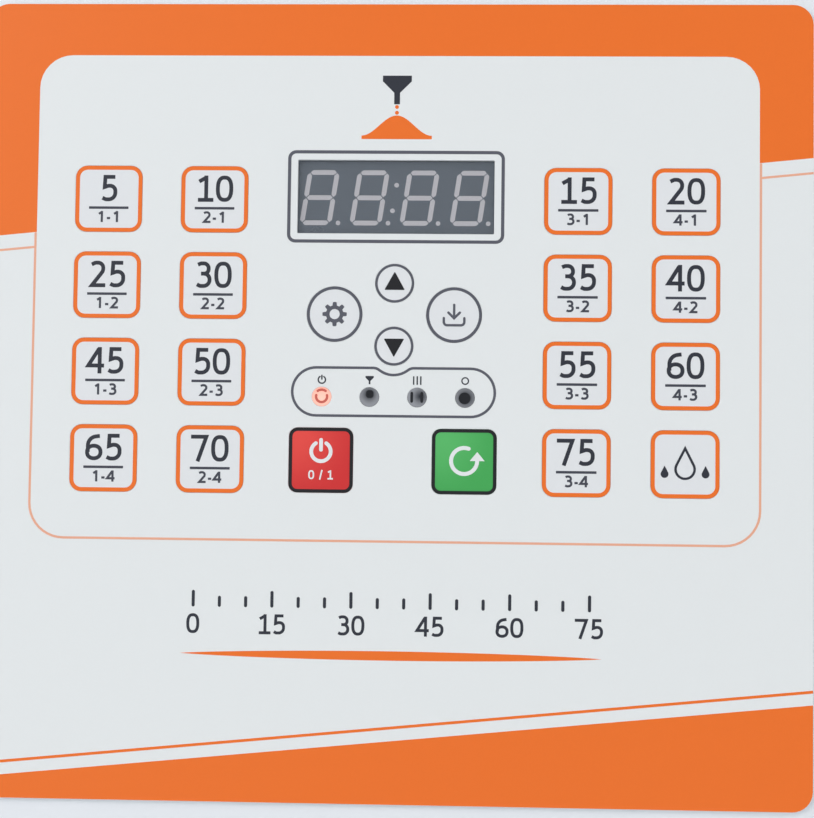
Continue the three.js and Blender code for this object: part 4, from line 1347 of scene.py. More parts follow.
    def mark_dose(self, body: str, grams: int, middle: Pair) -> None:
        """Print a dose on its key, with a bar and the key's column and row below it.

        Args:
            body: the CAD body that carries the key.
            grams: the dose.
            middle: middle of the key on the drawing.
        """
        shapes = self.dose_figures.line(str(grams), (0.0, self.dose_figures_up))
        self.printed(f"{body}_figures", shapes, FILM_DARK, body, middle)
        row, column = divmod(grams // 5 - 1, 4)
        bar = oblong(*self.bar, self.bar_corner, (0.0, self.bar_up), 2)
        place = self.index_figures.line(f"{column + 1}-{row + 1}".replace("1", "|"), (0.0, self.index_up))
        self.printed(f"{body}_index", [[bar], *place], FILM_INDEX, body, middle)

    def mark_symbol(self, body: str, middle: Pair) -> None:
        """Print a key's symbol, and 0 and 1 under the power mark.

        Args:
            body: the CAD body that carries the key.
            middle: middle of the key on the drawing.
        """
        symbols = {
            "clean": (rinse_symbol(2.7, 0.62), FILM_DARK, 0.0),
            "set": (gear_symbol(3.1), FILM_GREY, 0.0),
            "save": (store_symbol(5.2, 0.62), FILM_GREY, 0.0),
            "up": (triangle_symbol(5.2, 4.7, 1), FILM_BLACK, 0.65),
            "down": (triangle_symbol(5.2, 4.7, -1), FILM_BLACK, -0.45),
            "power": (power_symbol(2.95, 0.95), FILM_WHITE, 2.2),
            "continuous": (loop_symbol(3.3, 1.0), FILM_WHITE, 0.2),
        }
        shapes, ink, up = symbols[body]
        self.printed(f"{body}_symbol", shapes, ink, body, (middle[0], middle[1] + up), 2)
        if body == "power":
            word = self.run_figures.line("0 / 1", (0.0, self.run_figures_up))
            self.printed("power_figures", word, FILM_WHITE, body, middle)

    def add_lamps(self) -> None:
        """Set a lens in each lamp window with its lead frame inside, drawn dark as painted shade in the unlit
        ones, and print a symbol above it.
        """
        for lamp, x in zip(indicator_lamps(), self.lamps_at):
            lens = self.placed(rod(self.lamp_radius - self.slit, self.back, self.front, self.lamp_rim, 40),
                               (x, self.lamps_up))
            finish = lamp.lens_finish(x, -self.front, self.up + self.lamps_up)
            add_piece(f"lamp_{lamp.name}", lens, finish)
            # Unlit lamps show their insides dark, as painted shade
            ink = LAMP_LIT_FRAME if lamp.lit else LAMP_FRAME_PAINTED_SHADE
            self.printed(f"lamp_{lamp.name}_frame", lamp.lead_frame, ink, middle=(x, self.lamps_up))
            self.printed(f"lamp_{lamp.name}_symbol", lamp.symbol, FILM_DARK, middle=(x, self.lamp_marks_up))

    def add_window(self) -> None:
        """Fill the display opening with clear film."""
        width, height = (side - 2 * self.slit for side in self.window)
        outline = oblong(width, height, self.window_corner, (0.0, self.window_up), 2)
        pane = sheet([outline], self.front - self.window_thick, self.front)
        add_piece("display_window", self.placed(pane), CLEAR_FILM)


@dataclass
class Display:
    """Four-figure, seven-segment display behind the film: a moulded case with a cast face."""

    face: Pair = (50.3, 19.0)
    face_corner: float = 0.4
    face_rim: float = 0.2
    face_down: float = 0.1
    figure: Pair = (8.2, 14.2)
    count: int = 4
    pitch: float = 12.8
    first: float = -19.6
    lean: float = 8.5
    segment: float = 1.22
    break_between: float = 0.16
    dot: float = 0.6
    dot_aside: float = 0.7
    colon_rise: float = 3.3
    proud: float = 0.05
    sunk: float = 0.02

    def segments(self) -> list[Outline]:
        """Return the seven segments of an upright figure: bars with pointed ends, a little apart.

        Returns:
            The outlines, the three level bars first.
        """
        width, height = self.figure
        half, rise = (width - self.segment) / 2, (height - self.segment) / 2
        cut, inner = self.break_between, self.segment / 2 + self.break_between
        level = [((-half, up), (half, up)) for up in (rise, 0, -rise)]
        posts = [((x, low), (x, low + rise)) for low in (0, -rise) for x in (-half, half)]
        shapes = []
        for start, end in np.array([*level, *posts], float):
            along = (end - start) / np.linalg.norm(end - start)
            side = np.array([-along[1], along[0]]) * self.segment / 2
            near, far = start + along * inner, end - along * inner
            shapes.append(np.array([start + along * cut, near - side, far - side, end - along * cut,
                                    far + side, near + side]))
        return shapes

    def build(self) -> None:
        """Build the case with its face, and the segments and dots on it."""
        box = Box.of("display_module").seen(Facing.FRONT)
        face, up = box.high.z - self.face_down, box.middle.y
        case = sheet([oblong(*self.face, self.face_corner)], box.low.z, face, self.face_rim)
        add_piece("display_case", case.facing(Facing.FRONT).moved(z=up), DISPLAY_FACE, node="display_module")
        shear = math.tan(math.radians(self.lean))
        middles = [self.first + self.pitch * place for place in range(self.count)]
        shapes = [self.leant(loop, shear) + np.array([x, 0.0]) for x in middles for loop in self.segments()]
        low, aside = self.dot - self.figure[1] / 2, self.figure[0] / 2 + self.dot_aside
        dots = [circle(self.dot, (x + aside, low), 20) for x in middles]
        colon_x = (middles[1] + middles[2]) / 2
        colon = [circle(self.dot, (colon_x + rise * shear, rise), 20)
                 for rise in (self.colon_rise, -self.colon_rise)]
        skin = united(sheet([loop], face - self.sunk, face + self.proud) for loop in [*shapes, *dots, *colon])
        add_piece("display_segments", skin.facing(Facing.FRONT).moved(z=up), DISPLAY_SEGMENT)

    def leant(self, loop: Outline, shear: float) -> Outline:
        """Return an outline leant to the right: each point moves across by its height times the shear."""
        return np.column_stack([loop[:, 0] + shear * loop[:, 1], loop[:, 1]])


# Housing

def rectangle(box: Box, corner: float, gap: float = 0.0, steps: int = 4) -> Outline:
    """Return the outline of a box on its drawing, a gap wider on every side."""
    middle = (box.middle.x, box.middle.y)
    return oblong(box.size.x + 2 * gap, box.size.y + 2 * gap, corner, middle, steps)


@dataclass(frozen=True)
class Screw:
    """Countersunk machine screw with a cross recess, sunk in a sheet."""

    radius: float = 2.9
    recess: float = 1.7
    blade: float = 0.45
    deep: float = 0.7
    length: float = 1.0
    rim: float = 0.12
    sunk: float = 0.05
    clearance: float = 0.25
    steps: int = 28

    def hole(self, place: Pair) -> Outline:
        """Return the outline of the hole that the head sits in."""
        return circle(self.radius + self.clearance, place, self.steps)

    def head(self, place: Pair, surface: float) -> Skin:
        """Return the head under a surface level: a disc whose upper part has a cross cut out.

        Args:
            place: middle of the screw on the drawing.
            surface: level of the sheet's outer face.

        Returns:
            The skin of the head.
        """
        quarter = [(self.recess, -self.blade), (self.recess, self.blade), (self.blade, self.blade)]
        turns = [np.array([(c, s), (-s, c)]) for c, s in ((1, 0), (0, 1), (-1, 0), (0, -1))]
        cross = np.vstack([np.array(quarter) @ turn for turn in turns]) + np.array(place)
        spot, top = circle(self.radius, place, self.steps), surface - self.sunk
        return (sheet([spot, cross], top - self.deep, top, self.rim)
                + sheet([spot], top - self.length, top - self.deep))


@dataclass
class Cabinet:
    """Folded steel housing: base, column and head, with feet."""

    rim: float = 0.9
    edge: float = 0.5
    front_corner: float = 1.2
    panel_corner: float = 0.8
    side_corner: float = 1.0
    bay_corner: float = 2.0
    top_corner: float = 1.5
    base_corner: float = 1.0
    base_edge: float = 0.4
    plunger_hole: float = 2.3
    screw: Screw = Screw()
    side_screws: float = 14
    base_screws: Pair = (22, 11)
    panel_screws: Pair = (8, 16)
    top_screws: Pair = (7, 10)
    stud: Pair = (3, 6)
    stud_overlap: float = 0.1
    deck_sheet: float = 1.2
    deck_behind: float = 0.8
    deck_down: float = 0.02
    spout_hole: float = 17.3
    neck_corner: float = 0.4
    inlet_cut: Pair = (27.6, 47.6)
    inlet_corner: float = 0.6
    louvre_rows: int = 9
    louvre: Pair = (120, 4)
    louvre_pitch: float = 11
    louvre_top: float = 46
    hood_proud: float = 2.3
    hood_wall: float = 0.9
    hood_width: float = 1.03
    tread_inset: float = 2.5
    washer: float = 4
    foot_hollow: float = 3

    def build(self) -> None:
        """Build the sheets of the housing, their screws and the feet."""
        self.add_fascia()
        self.add_sides()
        self.add_base()
        self.add_head()
        self.add_cover()
        self.add_feet()

    def plate(self, name: str, node: str, side: Facing, outlines: list[Outline], levels: Pair, rim: float,
              screws: Sequence[Pair] = ()) -> None:
        """Build one sheet of the housing with its screws.

        Args:
            name: name of the piece.
            node: the CAD node that it stands for.
            side: the way that its outer face looks.
            outlines: its outline and holes.
            levels: the levels of its inner and its outer face.
            rim: radius of its outer edges.
            screws: middles of its screws.
        """
        holes = [self.screw.hole(place) for place in screws]
        skin = sheet([*outlines, *holes], *levels, rim)
        add_piece(name, skin.facing(side), POWDER_COAT, node=node)
        if screws:
            heads = united(self.screw.head(place, levels[1]) for place in screws)
            add_piece(f"{name}_screws", heads.facing(side), ZINC)

    def add_fascia(self) -> None:
        """Build the front plate of the head, its openings hidden by the film, and its studs."""
        panel = ControlPanel()
        plunger_spots = [Box.of(node).seen(Facing.FRONT).middle for node, _, _ in panel.keys]
        holes = [circle(self.plunger_hole, (spot.x, spot.y), 16) for spot in plunger_spots]
        holes += [circle(panel.lamp_radius + CLEARANCE, (x, panel.up + panel.lamps_up), 24)
                  for x in panel.lamps_at]
        display = Box.of("display_module").seen(Facing.FRONT)
        holes.append(rectangle(display, CLEARANCE, CLEARANCE, 2))
        fascia = Box.of("fascia_plate").seen(Facing.FRONT)
        levels = (fascia.high.z - SHEET, fascia.high.z)
        self.plate("head_front_plate", "fascia_plate", Facing.FRONT,
                   [rectangle(fascia, self.front_corner), *holes], levels, self.rim)
        radius, inset = self.stud
        spots = Box.of("control_board").seen(Facing.FRONT).spots(inset, inset)
        studs = united(rod(radius, fascia.low.z, levels[0] + self.stud_overlap, 0.4, 20).moved(*spot)
                       for spot in spots)
        add_piece("board_studs", studs.facing(Facing.FRONT), ZINC)

    def add_sides(self) -> None:
        """Build both side panels, cut out round the cup bay."""
        box, bay_back = Box.of("right_side_panel"), Box.of("column_front_panel").low.y
        bay_low, bay_high = Box.of("base_deck").high.z, Box.of("head_floor").low.z
        (front, low), (back, high) = (box.low.y, box.low.z), (box.high.y, box.high.z)
        corner, bay_corner, inset = self.side_corner, self.bay_corner, self.side_screws
        outline = np.array([
            (front, low, corner), (back, low, corner), (back, high, corner), (front, high, corner),
            (front, bay_high, corner), (bay_back, bay_high, bay_corner), (bay_back, bay_low, bay_corner),
            (front, bay_low, corner)])
        places = [(back - inset, up) for up in (low + inset, box.middle.z, high - inset)]
        places += [(front + inset, up) for up in (high - inset, bay_high + inset, low + inset)]
        places += [(bay_back + inset, up) for up in (bay_low + 6 * inset, bay_high - 6 * inset)]
        for name, side, sign in (("right_side", Facing.RIGHT, 1), ("left_side", Facing.LEFT, -1)):
            loop = rounded(outline * np.array([sign, 1, 1]), 4)
            self.plate(f"{name}_sheet", f"{name}_panel", side, [loop], (box.low.x, box.high.x), self.edge,
                       [(sign * y, z) for y, z in places])

    def add_base(self) -> None:
        """Build the base: bottom plate, folded front and the deck with the well of the tray."""
        deck, tray, half = Box.of("base_deck"), Box.of("drip_tray"), Box.of("column_front_panel").high.x
        front = deck.seen(Facing.FRONT)
        face = sheet([rectangle(front, self.front_corner)], front.high.z - SHEET, front.high.z, self.rim)
        low, high, corner = deck.low.y + self.deck_behind, deck.high.y, self.deck_behind
        plan = oblong(2 * half, high - low, corner, (0.0, (low + high) / 2), 3)
        well = rectangle(tray, TRAY_CORNER + CLEARANCE, CLEARANCE - TRAY_RIM, 8)
        top = sheet([plan, well], deck.high.z - self.deck_sheet, deck.high.z - self.deck_down, self.edge)
        add_piece("base_deck_sheet", face.facing(Facing.FRONT) + top, POWDER_COAT, node="base_deck")
        base = Box.of("base_plate").seen(Facing.UNDER)
        self.plate("base_bottom_sheet", "base_plate", Facing.UNDER, [rectangle(base, self.base_corner)],
                   (base.low.z, base.high.z), self.base_edge, base.spots(*self.base_screws, 3))

    def add_head(self) -> None:
        """Build the column's front, the floor of the head with the spout's hole, and the top deck."""
        column = Box.of("column_front_panel").seen(Facing.FRONT)
        self.plate("column_front_sheet", "column_front_panel", Facing.FRONT,
                   [rectangle(column, self.panel_corner)], (column.low.z, column.high.z), self.edge,
                   column.spots(*self.panel_screws))
        floor = Box.of("head_floor").seen(Facing.UNDER)
        hole = circle(self.spout_hole, (0.0, Box.of("nozzle").seen(Facing.UNDER).middle.y), 56)
        self.plate("head_floor_sheet", "head_floor", Facing.UNDER,
                   [rectangle(floor, self.panel_corner), hole], (floor.low.z, floor.high.z), self.edge)
        top = Box.of("top_deck")
        opening = rectangle(Box.of("powder_hopper"), self.neck_corner, CLEARANCE - HOPPER_FLANGE, 2)
        self.plate("top_deck_sheet", "top_deck", Facing.TOP, [rectangle(top, self.top_corner), opening],
                   (top.low.z, top.high.z), self.rim, top.spots(*self.top_screws, rows=3))

    def add_cover(self) -> None:
        """Build the back cover with its rows of louvres and the cut-out of the inlet."""
        cover, top = Box.of("back_cover").seen(Facing.BACK), Box.of("top_deck").high.z
        cut = oblong(*self.inlet_cut, self.inlet_corner, (0.0, Box.of("power_inlet").middle.z), 2)
        ups = [top - self.louvre_top - row * self.louvre_pitch for row in range(self.louvre_rows)]
        slots = [oblong(*self.louvre, self.louvre[1] / 2, (0.0, up), 6) for up in ups]
        self.plate("back_cover_sheet", "back_cover", Facing.BACK,
                   [rectangle(cover, self.base_corner), cut, *slots], (cover.low.z, cover.high.z), self.edge,
                   cover.spots(*self.panel_screws, rows=4))
        hoods = united(self.hood().moved(0.0, up, cover.high.z) for up in ups)
        add_piece("back_cover_louvres", hoods.facing(Facing.BACK), POWDER_COAT)

    def hood(self) -> Skin:
        """Return one pressed louvre on the drawing, open below.

        Across the slot the depth falls to nothing at both ends as the fourth root of 1 - u^8. At each place
        the section runs out and down along a quarter of an ellipse and back inside it, a wall nearer.

        Returns:
            The skin round the middle of its slot, at level 0.
        """
        across = np.linspace(-1, 1, 49)
        swell = np.sqrt(np.sqrt(np.clip(1 - across ** 8, 0, 1)))
        angle = np.linspace(0, math.pi / 2, 7)
        height, inside = 1.5 * self.louvre[1], 1 - self.hood_wall / self.hood_proud
        quarter = np.stack([height * np.cos(angle), self.hood_proud * np.sin(angle)], 1)
        section = np.vstack([quarter, inside * quarter[::-1]]) - [height / 2, 0.0]
        u = np.broadcast_to(across * self.louvre[0] / 2 * self.hood_width, (len(section), len(across)))
        v = -height / 2 + (section[:, :1] + height / 2) * swell
        w = section[:, 1:] * swell
        return woven(np.stack([u, v, w], axis=2)[::-1], close_rows=True, close_columns=False).welded()

    def add_feet(self) -> None:
        """Turn the four rubber feet: a rounded cone with a groove near its tread and a sunk washer."""
        for node in (f"foot_{end}_{side}" for end in ("front", "rear") for side in ("left", "right")):
            box = Box.of(node)
            radius, high, hollow = box.size.x / 2, box.high.z, self.foot_hollow
            tread = radius - self.tread_inset
            profile = rounded([
                (0.0, hollow, 0), (4.5, hollow, 0.4), (5, 0, 0.5), (tread, 0, 1.2),
                (tread + 0.6, 3.2, 0.4), (tread + 0.1, 3.8, 0.3),
                (tread + 0.8, 4.4, 0.4), (radius, high, 0.8), (0.0, high, 0)], 4, closed=False)
            cone = revolved(profile, 56).moved(box.middle.x, box.middle.y)
            add_piece(f"{node}_rubber", cone, RUBBER, node=node)
            washer = rod(self.washer, hollow - 0.1, hollow + 0.6, 0.2, 28)
            add_piece(f"{node}_washer", washer.moved(box.middle.x, box.middle.y), ZINC)


# Feed: hopper, screw, stirrer, chute and nozzle

@dataclass
class Feed:
    """Hopper with its screw and stirrer, the chute, the nozzle and the drive behind."""

    nozzle_flange: Pair = (5, 2.2)
    nozzle_wall: float = 2.2
    nozzle_cone: float = 14
    tip: Pair = (12.5, 16)
    grip_rings: int = 3
    grip_down: float = 6.2
    grip_pitch: float = 2.1
    grip_deep: float = 0.5
    shaft_radius: float = 6
    screw_radius: float = 21
    pitch: float = 30
    flight: float = 3
    flight_rim: float = 1.2
    flight_sunk: float = 1
    hopper_wall: float = 3
    steps_a_turn: int = 60
    bead: float = 1.1
    bead_inset: float = 0.6
    bead_flat: float = 0.9
    bead_corner: float = 2

    def build(self) -> None:
        """Build the moving and outer pieces, and finish the ones that keep their CAD shape."""
        self.add_nozzle()
        self.add_screw()
        self.add_neck_bead()
        refinish(STAINLESS, "powder_hopper", "outlet_chute")
        refinish(STAINLESS_TURNED, "agitator")
        refinish(ACETAL, "auger_bush", "agitator_bush", "auger_pinion", "agitator_gear")
        refinish(CAST_ALUMINIUM, "gearbox", "power_supply")
        refinish(ZINC, "drive_motor", "motor_bracket")
        refinish(BLACK_NYLON, "level_sensor")
        refinish(SOLDER_MASK, "control_board")

    def add_nozzle(self) -> None:
        """Turn the nozzle: a flanged cup with grip rings that narrows to a rounded tip."""
        box = Box.of("nozzle")
        flange, thick = self.nozzle_flange
        rim = box.size.x / 2
        outer, (tip_bore, tip) = rim - flange, self.tip
        bore, low, high, grip = outer - self.nozzle_wall, box.low.z, box.high.z, self.grip_deep
        shoulder = high - self.nozzle_cone
        rings = []
        for up in high - self.grip_down - self.grip_pitch * np.arange(self.grip_rings):
            rings += [(outer, up, 0), (outer - grip, up - grip, 0.2), (outer, up - 2 * grip, 0)]
        profile = rounded([
            (tip_bore, low, 0.6), (tip, low, 0.8), (outer, shoulder, 4), *rings[::-1],
            (outer, high - thick, 0.6), (rim, high - thick, 0.7), (rim, high, 0.5),
            (bore, high, 0.5), (bore, shoulder, 1), (tip_bore, shoulder - self.nozzle_wall, 1)], 4)
        skin = revolved(profile, 72, closed=True).moved(box.middle.x, box.middle.y)
        add_piece("nozzle_cup", skin, ACETAL, node="nozzle")

    def add_screw(self) -> None:
        """Wind the screw: a rounded blade on a helix of fixed radius and pitch, sunk into its shaft."""
        box = Box.of("auger_screw")
        up, start = box.middle.z, box.low.y
        end = Box.of("powder_hopper").high.y - HOPPER_FLANGE - self.hopper_wall
        turns = (end - start - self.flight) / self.pitch
        angle = np.linspace(0, 2 * math.pi * turns, int(self.steps_a_turn * turns))
        root, tip, half = self.shaft_radius - self.flight_sunk, self.screw_radius, self.flight / 2
        blade = rounded([(root, -half, 0), (tip, -half, self.flight_rim), (tip, half, self.flight_rim),
                         (root, half, 0)], 3)
        away, along = blade[:, :1], blade[:, 1:]
        climb = start + half + self.pitch * angle / (2 * math.pi)
        grid = np.stack([away * np.cos(angle), along + climb, up + away * np.sin(angle)], axis=2)[::-1]
        ribbon = woven(grid, close_rows=True, close_columns=False)
        ends = [self.blade_end(grid[:, 0], False), self.blade_end(grid[:, -1], True)]
        shaft = rod(self.shaft_radius, -box.high.y, -start, 0.8, 40).facing(Facing.FRONT).moved(z=up)
        add_piece("feed_screw", united([ribbon, *ends, shaft]), STAINLESS_TURNED, "auger", "auger_screw")

    def blade_end(self, loop: Outline, back: bool) -> Skin:
        """Close one end of the blade with a fan from its middle.

        Args:
            loop: points round the end.
            back: whether it is the end at the back.

        Returns:
            The fan, which faces away from the blade.
        """
        count = len(loop)
        number = np.arange(count)
        fan = np.stack([number, (number + 1) % count, np.full(count, count)], 1)
        return Skin(np.vstack([loop, loop.mean(0)]), fan[:, ::-1] if back else fan, np.zeros(count, bool))

    def add_neck_bead(self) -> None:
        """Roll a thin bead round the top of the hopper's neck."""
        box = Box.of("powder_hopper")
        outline = rectangle(box, self.bead_corner, -HOPPER_FLANGE)
        angle = np.linspace(0, 2 * math.pi, 16, endpoint=False)
        section = np.stack([self.bead_inset - self.bead * np.cos(angle),
                            box.high.z - self.bead + self.bead_flat * self.bead * np.sin(angle)], 1)
        add_piece("hopper_neck_bead", carried([outline], section, closed=True), STAINLESS)


# Lid

@dataclass
class HopperLid:
    """Smoked lid on its hinge, with the soft ring that closes on the neck."""

    wall: float = 3
    corner: float = 14
    rim: float = 2.2
    edge: float = 0.8
    ceiling_corner: float = 1.2
    behind: float = 8
    lip: Triple = (72, 11, 4)
    lip_taper: float = 5
    lip_corner: float = 6
    lip_rim: float = 1.2
    lip_down: float = 0.05
    grip_ribs: int = 9
    rib_width: float = 1.6
    rib_sunk: float = 0.3
    rib_span: Pair = (0.7, 0.15)
    ribs_inset: float = 14
    barrel: float = 5
    barrel_length: float = 14
    spread: float = 52
    pin_radius: float = 2
    arm_rim: float = 0.6
    arm_sunk: float = 1.5
    leaf_thickness: float = 2
    leaf_corners: Pair = (1, 5)
    post_half: float = 4
    post_down: float = 2.4
    screw: Screw = Screw(radius=2.6, deep=0.6)
    screw_inset: Pair = (12, 6.5)
    seal_width: float = 7
    seal_corner: float = 9
    seal_edge: float = 0.5
    ridge: float = 0.6
    ridge_inset: float = 1.4

    def __post_init__(self) -> None:
        """Read where the lid, its gasket and its hinge are."""
        self.box = Box.of("hopper_lid")
        self.gasket = Box.of("lid_gasket")
        self.base = Box.of("lid_hinge_base")
        self.axis_y = self.base.low.y + self.barrel
        self.axis_z = self.base.high.z - self.barrel
        self.front = self.box.low.y + self.lip[1]
        self.back = self.axis_y - self.behind

    def build(self) -> None:
        """Build the lid's shell with its grip and arms, the gasket, the hinge base and its pin."""
        self.add_shell()
        self.add_grip_ribs()
        self.add_arms()
        self.add_gasket()
        self.add_hinge()

    def add_shell(self) -> None:
        """Mould the shell: an upturned tray with a lip at its front."""
        box, front, wall = self.box, self.front, self.wall
        low, high, ceiling = box.low.z, box.high.z, self.gasket.high.z + CLEARANCE
        middle = (0.0, (front + self.back) / 2)
        outline = oblong(box.size.x, self.back - front, self.corner, middle, 10)
        section = rounded([
            (2 * wall, ceiling, 0), (wall, ceiling, self.ceiling_corner), (wall, low, self.edge),
            (0.0, low, self.edge), (0.0, high, self.rim), (1.6 * self.rim, high, 0)], 5, closed=False)
        half, thick, start = self.lip[0] / 2, self.lip[2], front + 1
        end, corner = half - self.lip_taper, self.lip_corner
        lip_outline = rounded([(-half, start, 0), (-end, box.low.y, corner), (end, box.low.y, corner),
                               (half, start, 0)], 8)
        lip = sheet([lip_outline], high - thick, high - self.lip_down, self.lip_rim, self.lip_rim)
        add_piece("lid_shell", carried([outline], section) + lip, SMOKED, "lid", "hopper_lid")

    def add_grip_ribs(self) -> None:
        """Raise low ribs on the lip, side by side."""
        width, depth, _ = self.lip
        high, half = self.box.high.z, self.rib_width / 2
        near, far = (self.front - depth * share for share in self.rib_span)
        places = np.linspace(self.ribs_inset - width / 2, width / 2 - self.ribs_inset, self.grip_ribs)
        ribs = united(block((x - half, near, high - self.rib_sunk), (x + half, far, high), 0.12, 0.7)
                      for x in places)
        add_piece("lid_grip_ribs", ribs, SMOKED, "lid")

    def knuckle(self, middle: float) -> Skin:
        """Return one knuckle of the hinge, round the pin at a place across the machine.

        Args:
            middle: the place.

        Returns:
            The skin of the knuckle.
        """
        half = self.barrel_length / 2
        tube = pipe(self.barrel, self.pin_radius + CLEARANCE, middle - half, middle + half, 0.4, 36)
        return tube.facing(Facing.RIGHT).moved(y=self.axis_y, z=self.axis_z)

    def add_arms(self) -> None:
        """Build the lid's two hinge arms, each a knuckle with a bar to the shell."""
        reach, half = self.spread - self.barrel_length - CLEARANCE, self.barrel_length / 2
        start, end = self.back - self.arm_sunk, self.axis_y - self.pin_radius - self.arm_rim
        low, high = self.axis_z - self.barrel / 2, self.axis_z + self.barrel
        bars = [block((middle - half, start, low), (middle + half, end, high), self.arm_rim)
                for middle in (-reach, reach)]
        knuckles = [self.knuckle(middle) for middle in (-reach, reach)]
        add_piece("lid_hinge_arms", united([*knuckles, *bars]), SMOKED, "lid")

    def add_gasket(self) -> None:
        """Carry the soft ring round the neck: a rounded strip with two sealing ridges."""
        box, width, edge = self.gasket, self.seal_width, self.seal_edge
        outline = oblong(box.size.x, box.size.y, self.seal_corner, (box.middle.x, box.middle.y), 8)
        low, high, valley = box.low.z, box.high.z, box.low.z + self.ridge
        section = rounded([
            (width, valley, 0.3), (width - self.ridge_inset, low, edge), (width / 2, valley, 0.4),
            (self.ridge_inset, low, edge), (0.0, valley, 0.3), (0.0, high, edge), (width, high, edge)], 3)
        add_piece("lid_seal", carried([outline], section, closed=True), SILICONE, "lid", "lid_gasket")

    def add_hinge(self) -> None:
        """Form the hinge base with its two knuckles and screws, and the pin with domed ends."""
        base, half, reach = self.base, self.spread + self.barrel_length / 2, self.barrel_length / 2
        sharp, soft = self.leaf_corners
        outline = rounded([(-half, base.low.y, sharp), (half, base.low.y, sharp), (half, base.high.y, soft),
                           (-half, base.high.y, soft)], 6)
        inset, from_edge = self.screw_inset
        places = [(x, base.high.y - from_edge) for x in (inset - half, 0.0, half - inset)]
        top = base.low.z + self.leaf_thickness
        leaf = sheet([outline, *[self.screw.hole(place) for place in places]], base.low.z, top, 0.5)
        posts = [block((middle - reach, self.axis_y - self.post_half, base.low.z + 0.5),
                       (middle + reach, self.axis_y + self.post_half, self.axis_z - self.post_down))
                 for middle in (-self.spread, self.spread)]
        knuckles = [self.knuckle(middle) for middle in (-self.spread, self.spread)]
        add_piece("hinge_base_leaf", united([leaf, *knuckles, *posts]), STAINLESS, node="lid_hinge_base")
        heads = united(self.screw.head(place, top) for place in places)
        add_piece("hinge_base_screws", heads, ZINC)
        pin = rod(self.pin_radius, -half, half, 0.8, 24).facing(Facing.RIGHT)
        placed = pin.moved(y=self.axis_y, z=self.axis_z)
        add_piece("hinge_pin_rod", placed, STAINLESS_TURNED, node="lid_hinge_pin")


# Tray and mains inlet

@dataclass
class DripTray:
    """Drawn tray in the well of the base, with its slotted grille."""

    wall: float = 1.2
    edge: float = 0.5
    floor_inset: Pair = (6, 6.5)
    grille_corner: float = 14
    slot: float = 5
    slot_pitch: float = 13
    bridge: float = 10
    border: float = 12

    def build(self) -> None:
        """Build the tray and the grille."""
        box = Box.of("drip_tray")
        width, depth = box.size.x - 2 * TRAY_RIM, box.size.y - 2 * TRAY_RIM
        middle = (0.0, box.middle.y)
        self.add_pan(oblong(width, depth, TRAY_CORNER, middle, 10), box.low.z, box.high.z)
        self.add_grille(width, depth, middle)

    def add_pan(self, outline: Outline, low: float, high: float) -> None:
        """Draw the pan: its wall rises from a rounded floor and turns out into a flat rim.

        Args:
            outline: outside of its wall.
            low: level of its underside.
            high: level of its rim.
        """
        wall, edge = self.wall, self.edge
        under, over = self.floor_inset
        section = rounded([
            (under, low, 0), (0.0, low, 3.5), (0.0, high - wall, 0.4),
            (-TRAY_RIM, high - wall, 0.4), (-TRAY_RIM, high, edge), (wall, high, 1.4),
            (wall, low + wall, 3), (over, low + wall, 0)], 5, closed=False)
        add_piece("tray_pan", carried([outline], section), STAINLESS, "tray", "drip_tray")

    def add_grille(self, width: float, depth: float, middle: Pair) -> None:
        """Cut two rows of slots in the grille, on both sides of a flat bridge.

        Args:
            width: width of the tray's well.
            depth: depth of the well.
            middle: middle of the well.
        """
        grille = Box.of("drip_grille")
        plan = oblong(grille.size.x, grille.size.y, self.grille_corner, middle, 8)
        length = (depth - 2 * self.border - self.bridge) / 2
        count = int((width - 2 * self.border) // self.slot_pitch)
        places = (np.arange(count) - (count - 1) / 2) * self.slot_pitch
        row = (length + self.bridge) / 2
        slots = [oblong(self.slot, length, self.slot / 2, (float(x), middle[1] + up), 8)
                 for up in (-row, row) for x in places]
        skin = sheet([plan, *slots], grille.low.z, grille.high.z, self.edge, 0.3)
        add_piece("tray_grille", skin, STAINLESS, "grille", "drip_grille")


